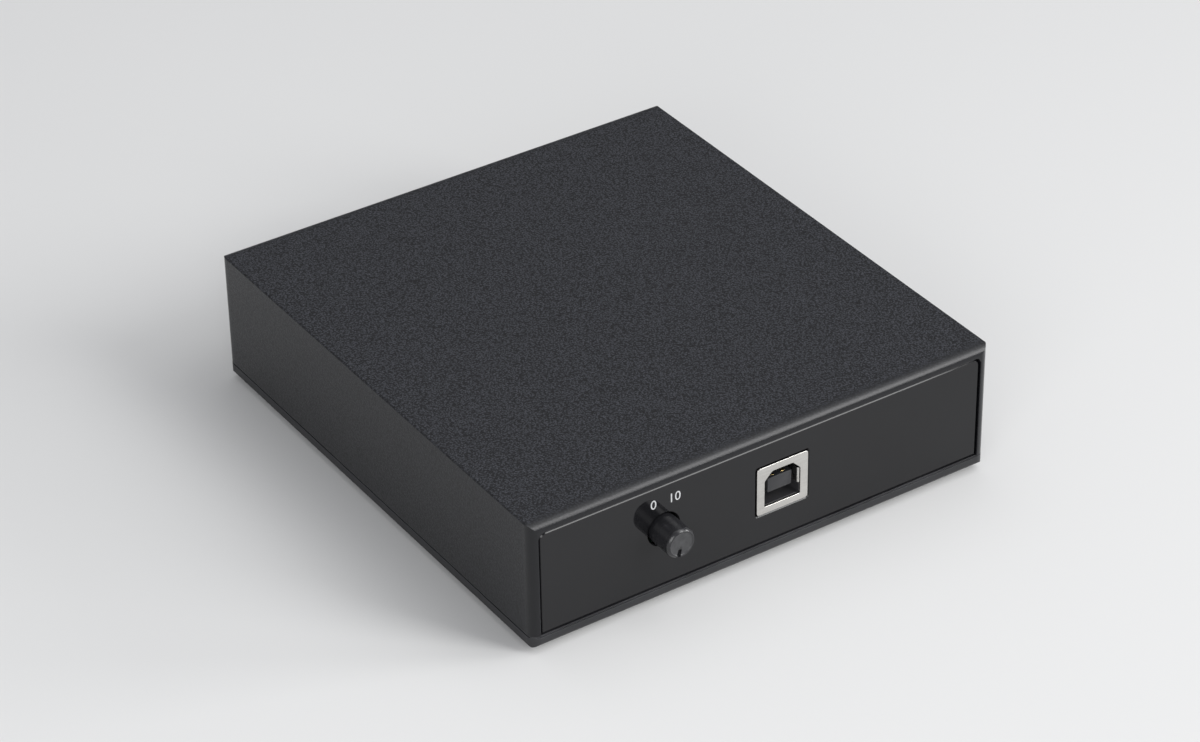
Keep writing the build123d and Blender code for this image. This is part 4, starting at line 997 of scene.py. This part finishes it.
nut_low, nut_high = span("ground_thumb_nut")
neck_y = nut_low.y + NECK_LENGTH
nut = [
    (WASHER_BORE, nut_low.y, 0.05),
    (NUT_NECK, nut_low.y, 0.15),
    (NUT_NECK, neck_y, 0.1),
    (NUT_RADIUS - GRIP_INNER_EDGE, neck_y, 0.1),
    (NUT_RADIUS, neck_y + GRIP_INNER_EDGE, 0.2),
    (NUT_RADIUS, nut_high.y - GRIP_OUTER_EDGE, 0.25),
    (NUT_RADIUS - GRIP_OUTER_EDGE, nut_high.y, 0.25),
    (WASHER_BORE + NUT_BORE_EDGE, nut_high.y, 0.1),
    (WASHER_BORE, nut_high.y - NUT_BORE_EDGE_LENGTH, 0.1),
]
bm = bmesh.new()
lathe(bm, (ground.x, ground.z), nut, 240, closed=True, wobble=fluted)
add_piece(
    "ground_nut_detail", bm, "gold_contact", "ground_nut", ("ground_thumb_nut",), angle=40.0,
)

# ---------------------------------------------------------------- underside
FOOT_SLOPE = math.tan(math.radians(20.0))  # how fast a foot draws in towards the table
FOOT_TOP_CORNER = 2.2
FOOT_CORNER = 2.0
# Rows down a foot: distance below its top, and how far its rounded edge has drawn in there.
FOOT_ROWS = ((0.5, 0.0), (1.1, 0.0), (1.35, 0.1), (1.5, 0.3), (1.58, 0.6), (1.6, 1.0))
HEAD_HEIGHT = 1.3
HEAD_RADIUS = 2.75
HEAD_CROWN = 0.45  # height of the rounded crown
HEAD_FLAT = 1.85  # radius of the flat on top of it
CROSS_RIM = 1.55  # radius of an edge loop round the cross
SHANK_RADIUS = 1.3
SHANK_LENGTH = 7.5
CROSS_ARM = 1.45
CROSS_HALF_WIDTH = 0.27
CROSS_START = 0.5  # how far the cutter reaches below the tray
CROSS_DEPTH = 0.85


def loose_boxes(node):
    """Boxes of the separate solids in a node, in millimetres, as (lowest, highest) from left to right."""
    bm = bmesh.new()
    bm.from_mesh(nodes[node].data)
    bmesh.ops.remove_doubles(bm, verts=bm.verts, dist=1e-6)
    left, found = set(bm.verts), []
    while left:
        stack, group = [left.pop()], []
        while stack:
            vert = stack.pop()
            group.append(vert.co / MM)
            for edge in vert.link_edges:
                other = edge.other_vert(vert)
                if other in left:
                    left.remove(other)
                    stack.append(other)
        low = Vector(min(p[i] for p in group) for i in range(3))
        high = Vector(max(p[i] for p in group) for i in range(3))
        found.append((low, high))
    bm.free()
    return sorted(found, key=lambda pair: tuple(pair[0]))


def level_square(x, y, z, half, corner):
    """Square ring with round corners at a height."""
    return [(a, b, z) for a, b in box_outline(x, y, 2 * half, 2 * half, corner, 6)]


bm = bmesh.new()
for low, high in loose_boxes("rubber_feet"):
    x, y = (low.x + high.x) / 2, (low.y + high.y) / 2
    half = (high.x - low.x) / 2
    rings = [level_square(x, y, high.z, half, FOOT_TOP_CORNER)]
    for drop, inset in FOOT_ROWS:
        rings.append(level_square(x, y, high.z - drop, half - FOOT_SLOPE * drop - inset, FOOT_CORNER))
    skin(bm, rings)
add_piece("feet_detail", bm, "rubber", "enclosure", ("rubber_feet",), angle=50.0)

screw = [
    (0.0, HEAD_HEIGHT + SHANK_LENGTH),
    (SHANK_RADIUS, HEAD_HEIGHT + SHANK_LENGTH, 0.2),
    (SHANK_RADIUS, HEAD_HEIGHT),
    (HEAD_RADIUS, HEAD_HEIGHT, 0.1),
    (HEAD_RADIUS, HEAD_CROWN, 0.4),
    (HEAD_FLAT, 0.0, 0.5),
    (CROSS_RIM, 0.0),
    (0.0, 0.0),
]
upright = Matrix.Rotation(math.radians(90), 3, "X")
screw_places = []
bm = bmesh.new()
for low, high in loose_boxes("case_screws"):
    x, y = (low.x + high.x) / 2, (low.y + high.y) / 2
    screw_places.append((x, y))
    one = bmesh.new()
    lathe(one, (0.0, 0.0), screw, 48)
    bmesh.ops.rotate(one, cent=(0, 0, 0), matrix=upright, verts=one.verts)
    bmesh.ops.translate(one, vec=(x, y, low.z), verts=one.verts)
    merge(bm, one)
screws = add_piece("case_screws_detail", bm, "zinc_screw", "enclosure", ("case_screws",))

arm, half = CROSS_ARM, CROSS_HALF_WIDTH
cross = [
    (half, half), (arm, half), (arm, -half), (half, -half), (half, -arm), (-half, -arm),
    (-half, -half), (-arm, -half), (-arm, half), (-half, half), (-half, arm), (half, arm),
]
tray_z = span("base_tray")[0].z
random.seed(4)
bm = bmesh.new()
for x, y in screw_places:
    twist = random.uniform(0, math.pi / 2)
    cos, sin = math.cos(twist), math.sin(twist)
    turned = [(x + a * cos - b * sin, y + a * sin + b * cos) for a, b in cross]
    prism(bm, turned, tray_z - CROSS_START, tray_z + CROSS_DEPTH)
carve(screws, bm)

# ---------------------------------------------------------------- printed numerals
INK_HEIGHT = 0.012  # thickness of the ink above the panel
INK_SINK = 0.01  # and below its surface
NUMERAL_SIZE = 2.9
NUMERAL_RISE = 6.3  # above the knob's axis
ZERO_LEFT = 2.3  # of the knob's axis
TEN_RIGHT = 2.5


def printed_text(bm, text, x):
    """Plain numerals lying on the front panel over the knob, centred at x."""
    curve = bpy.data.curves.new("numerals", "FONT")
    curve.body = text
    curve.size = NUMERAL_SIZE
    curve.align_x = "CENTER"
    curve.align_y = "CENTER"
    curve.extrude = (INK_HEIGHT + INK_SINK) / 2
    curve.resolution_u = 4
    stand_up(bm, curve, x, panel_y - INK_HEIGHT + curve.extrude, knob_z + NUMERAL_RISE)


bm = bmesh.new()
printed_text(bm, "0", knob_x - ZERO_LEFT)
printed_text(bm, "10", knob_x + TEN_RIGHT)
add_piece("level_numerals", bm, "print_grey", "enclosure")

# ---------------------------------------------------------------- floor, light and camera
FLOOR_RADIUS = 6.0  # metres, as the places and sizes of the lamps and the camera's place

bm = bmesh.new()
bmesh.ops.create_circle(bm, cap_ends=True, radius=FLOOR_RADIUS, segments=96)
floor_mesh = bpy.data.meshes.new("floor")
bm.to_mesh(floor_mesh)
bm.free()
floor = bpy.data.objects.new("floor", floor_mesh)
scene.collection.objects.link(floor)
paper, shader, node, link = new_material("floor_paper")
shader.inputs["Base Color"].default_value = (0.74, 0.74, 0.735, 1.0)
shader.inputs["Roughness"].default_value = 0.85
shader.inputs["Specular IOR Level"].default_value = 0.0
floor_mesh.materials.append(paper)

world = bpy.data.worlds.new("studio")
world.use_nodes = True
background = world.node_tree.nodes["Background"]
background.inputs["Color"].default_value = (0.93, 0.95, 1.0, 1.0)
background.inputs["Strength"].default_value = 0.35
scene.world = world


def softbox(name, place, aim, width, height, watts, spread=180.0):
    """Soft rectangular lamp. A spread under 180 degrees keeps its light off the floor below it."""
    lamp = bpy.data.lights.new(name, "AREA")
    lamp.shape = "RECTANGLE"
    lamp.size, lamp.size_y = width, height
    lamp.energy = watts
    lamp.spread = math.radians(spread)
    holder = bpy.data.objects.new(name, lamp)
    holder.location = place
    holder.rotation_mode = "QUATERNION"
    holder.rotation_quaternion = (Vector(aim) - Vector(place)).to_track_quat("-Z", "Y")
    scene.collection.objects.link(holder)


# Name, place, point that it is aimed at, width, height, watts, and spread in degrees.
softbox("key_front_right", (0.52, -0.42, 1.08), (0.0, -0.03, 0.02), 0.9, 0.9, 1.9, 120.0)
softbox("tall_front_right", (0.84, -1.278, 0.802), (0.0, -0.06, 0.026), 0.56, 1.33, 4.1, 85.0)
softbox("fill_left", (-0.50, -0.54, 0.28), (-0.05, -0.05, 0.02), 0.5, 0.4, 0.95, 110.0)
softbox("edge_right", (1.114, -0.636, 0.311), (0.01, -0.06, 0.015), 0.352, 0.544, 2.56, 110.0)
softbox("top_soft", (0.1, 0.35, 1.25), (0.0, 0.0, 0.0), 1.1, 1.1, 2.2)

# The camera that was fitted to the case's edges in the photograph.
PHOTO_WIDTH = 1200  # pixels
FOCAL_LENGTH = 3851.3  # pixels
SENSOR = 36.0  # millimetres
CAMERA_PLACE = (-0.35441, -0.54512, 0.44417)
YAW, PITCH, ROLL = (math.radians(a) for a in (56.837, 33.674, -0.973))

forward = Vector((math.cos(YAW) * math.cos(PITCH), math.sin(YAW) * math.cos(PITCH), -math.sin(PITCH)))
level_right = Vector((math.sin(YAW), -math.cos(YAW), 0.0))
level_up = level_right.cross(forward)
right = level_right * math.cos(ROLL) + level_up * math.sin(ROLL)
up = level_up * math.cos(ROLL) - level_right * math.sin(ROLL)
camera_data = bpy.data.cameras.new("camera")
camera_data.lens = FOCAL_LENGTH / PHOTO_WIDTH * SENSOR
camera_data.sensor_width = SENSOR
camera_data.clip_start = 0.01
camera = bpy.data.objects.new("camera", camera_data)
columns = Matrix((right, up, -forward)).transposed()
camera.matrix_world = Matrix.Translation(CAMERA_PLACE) @ columns.to_4x4()
scene.collection.objects.link(camera)
scene.camera = camera
scene.view_settings.view_transform = "Standard"
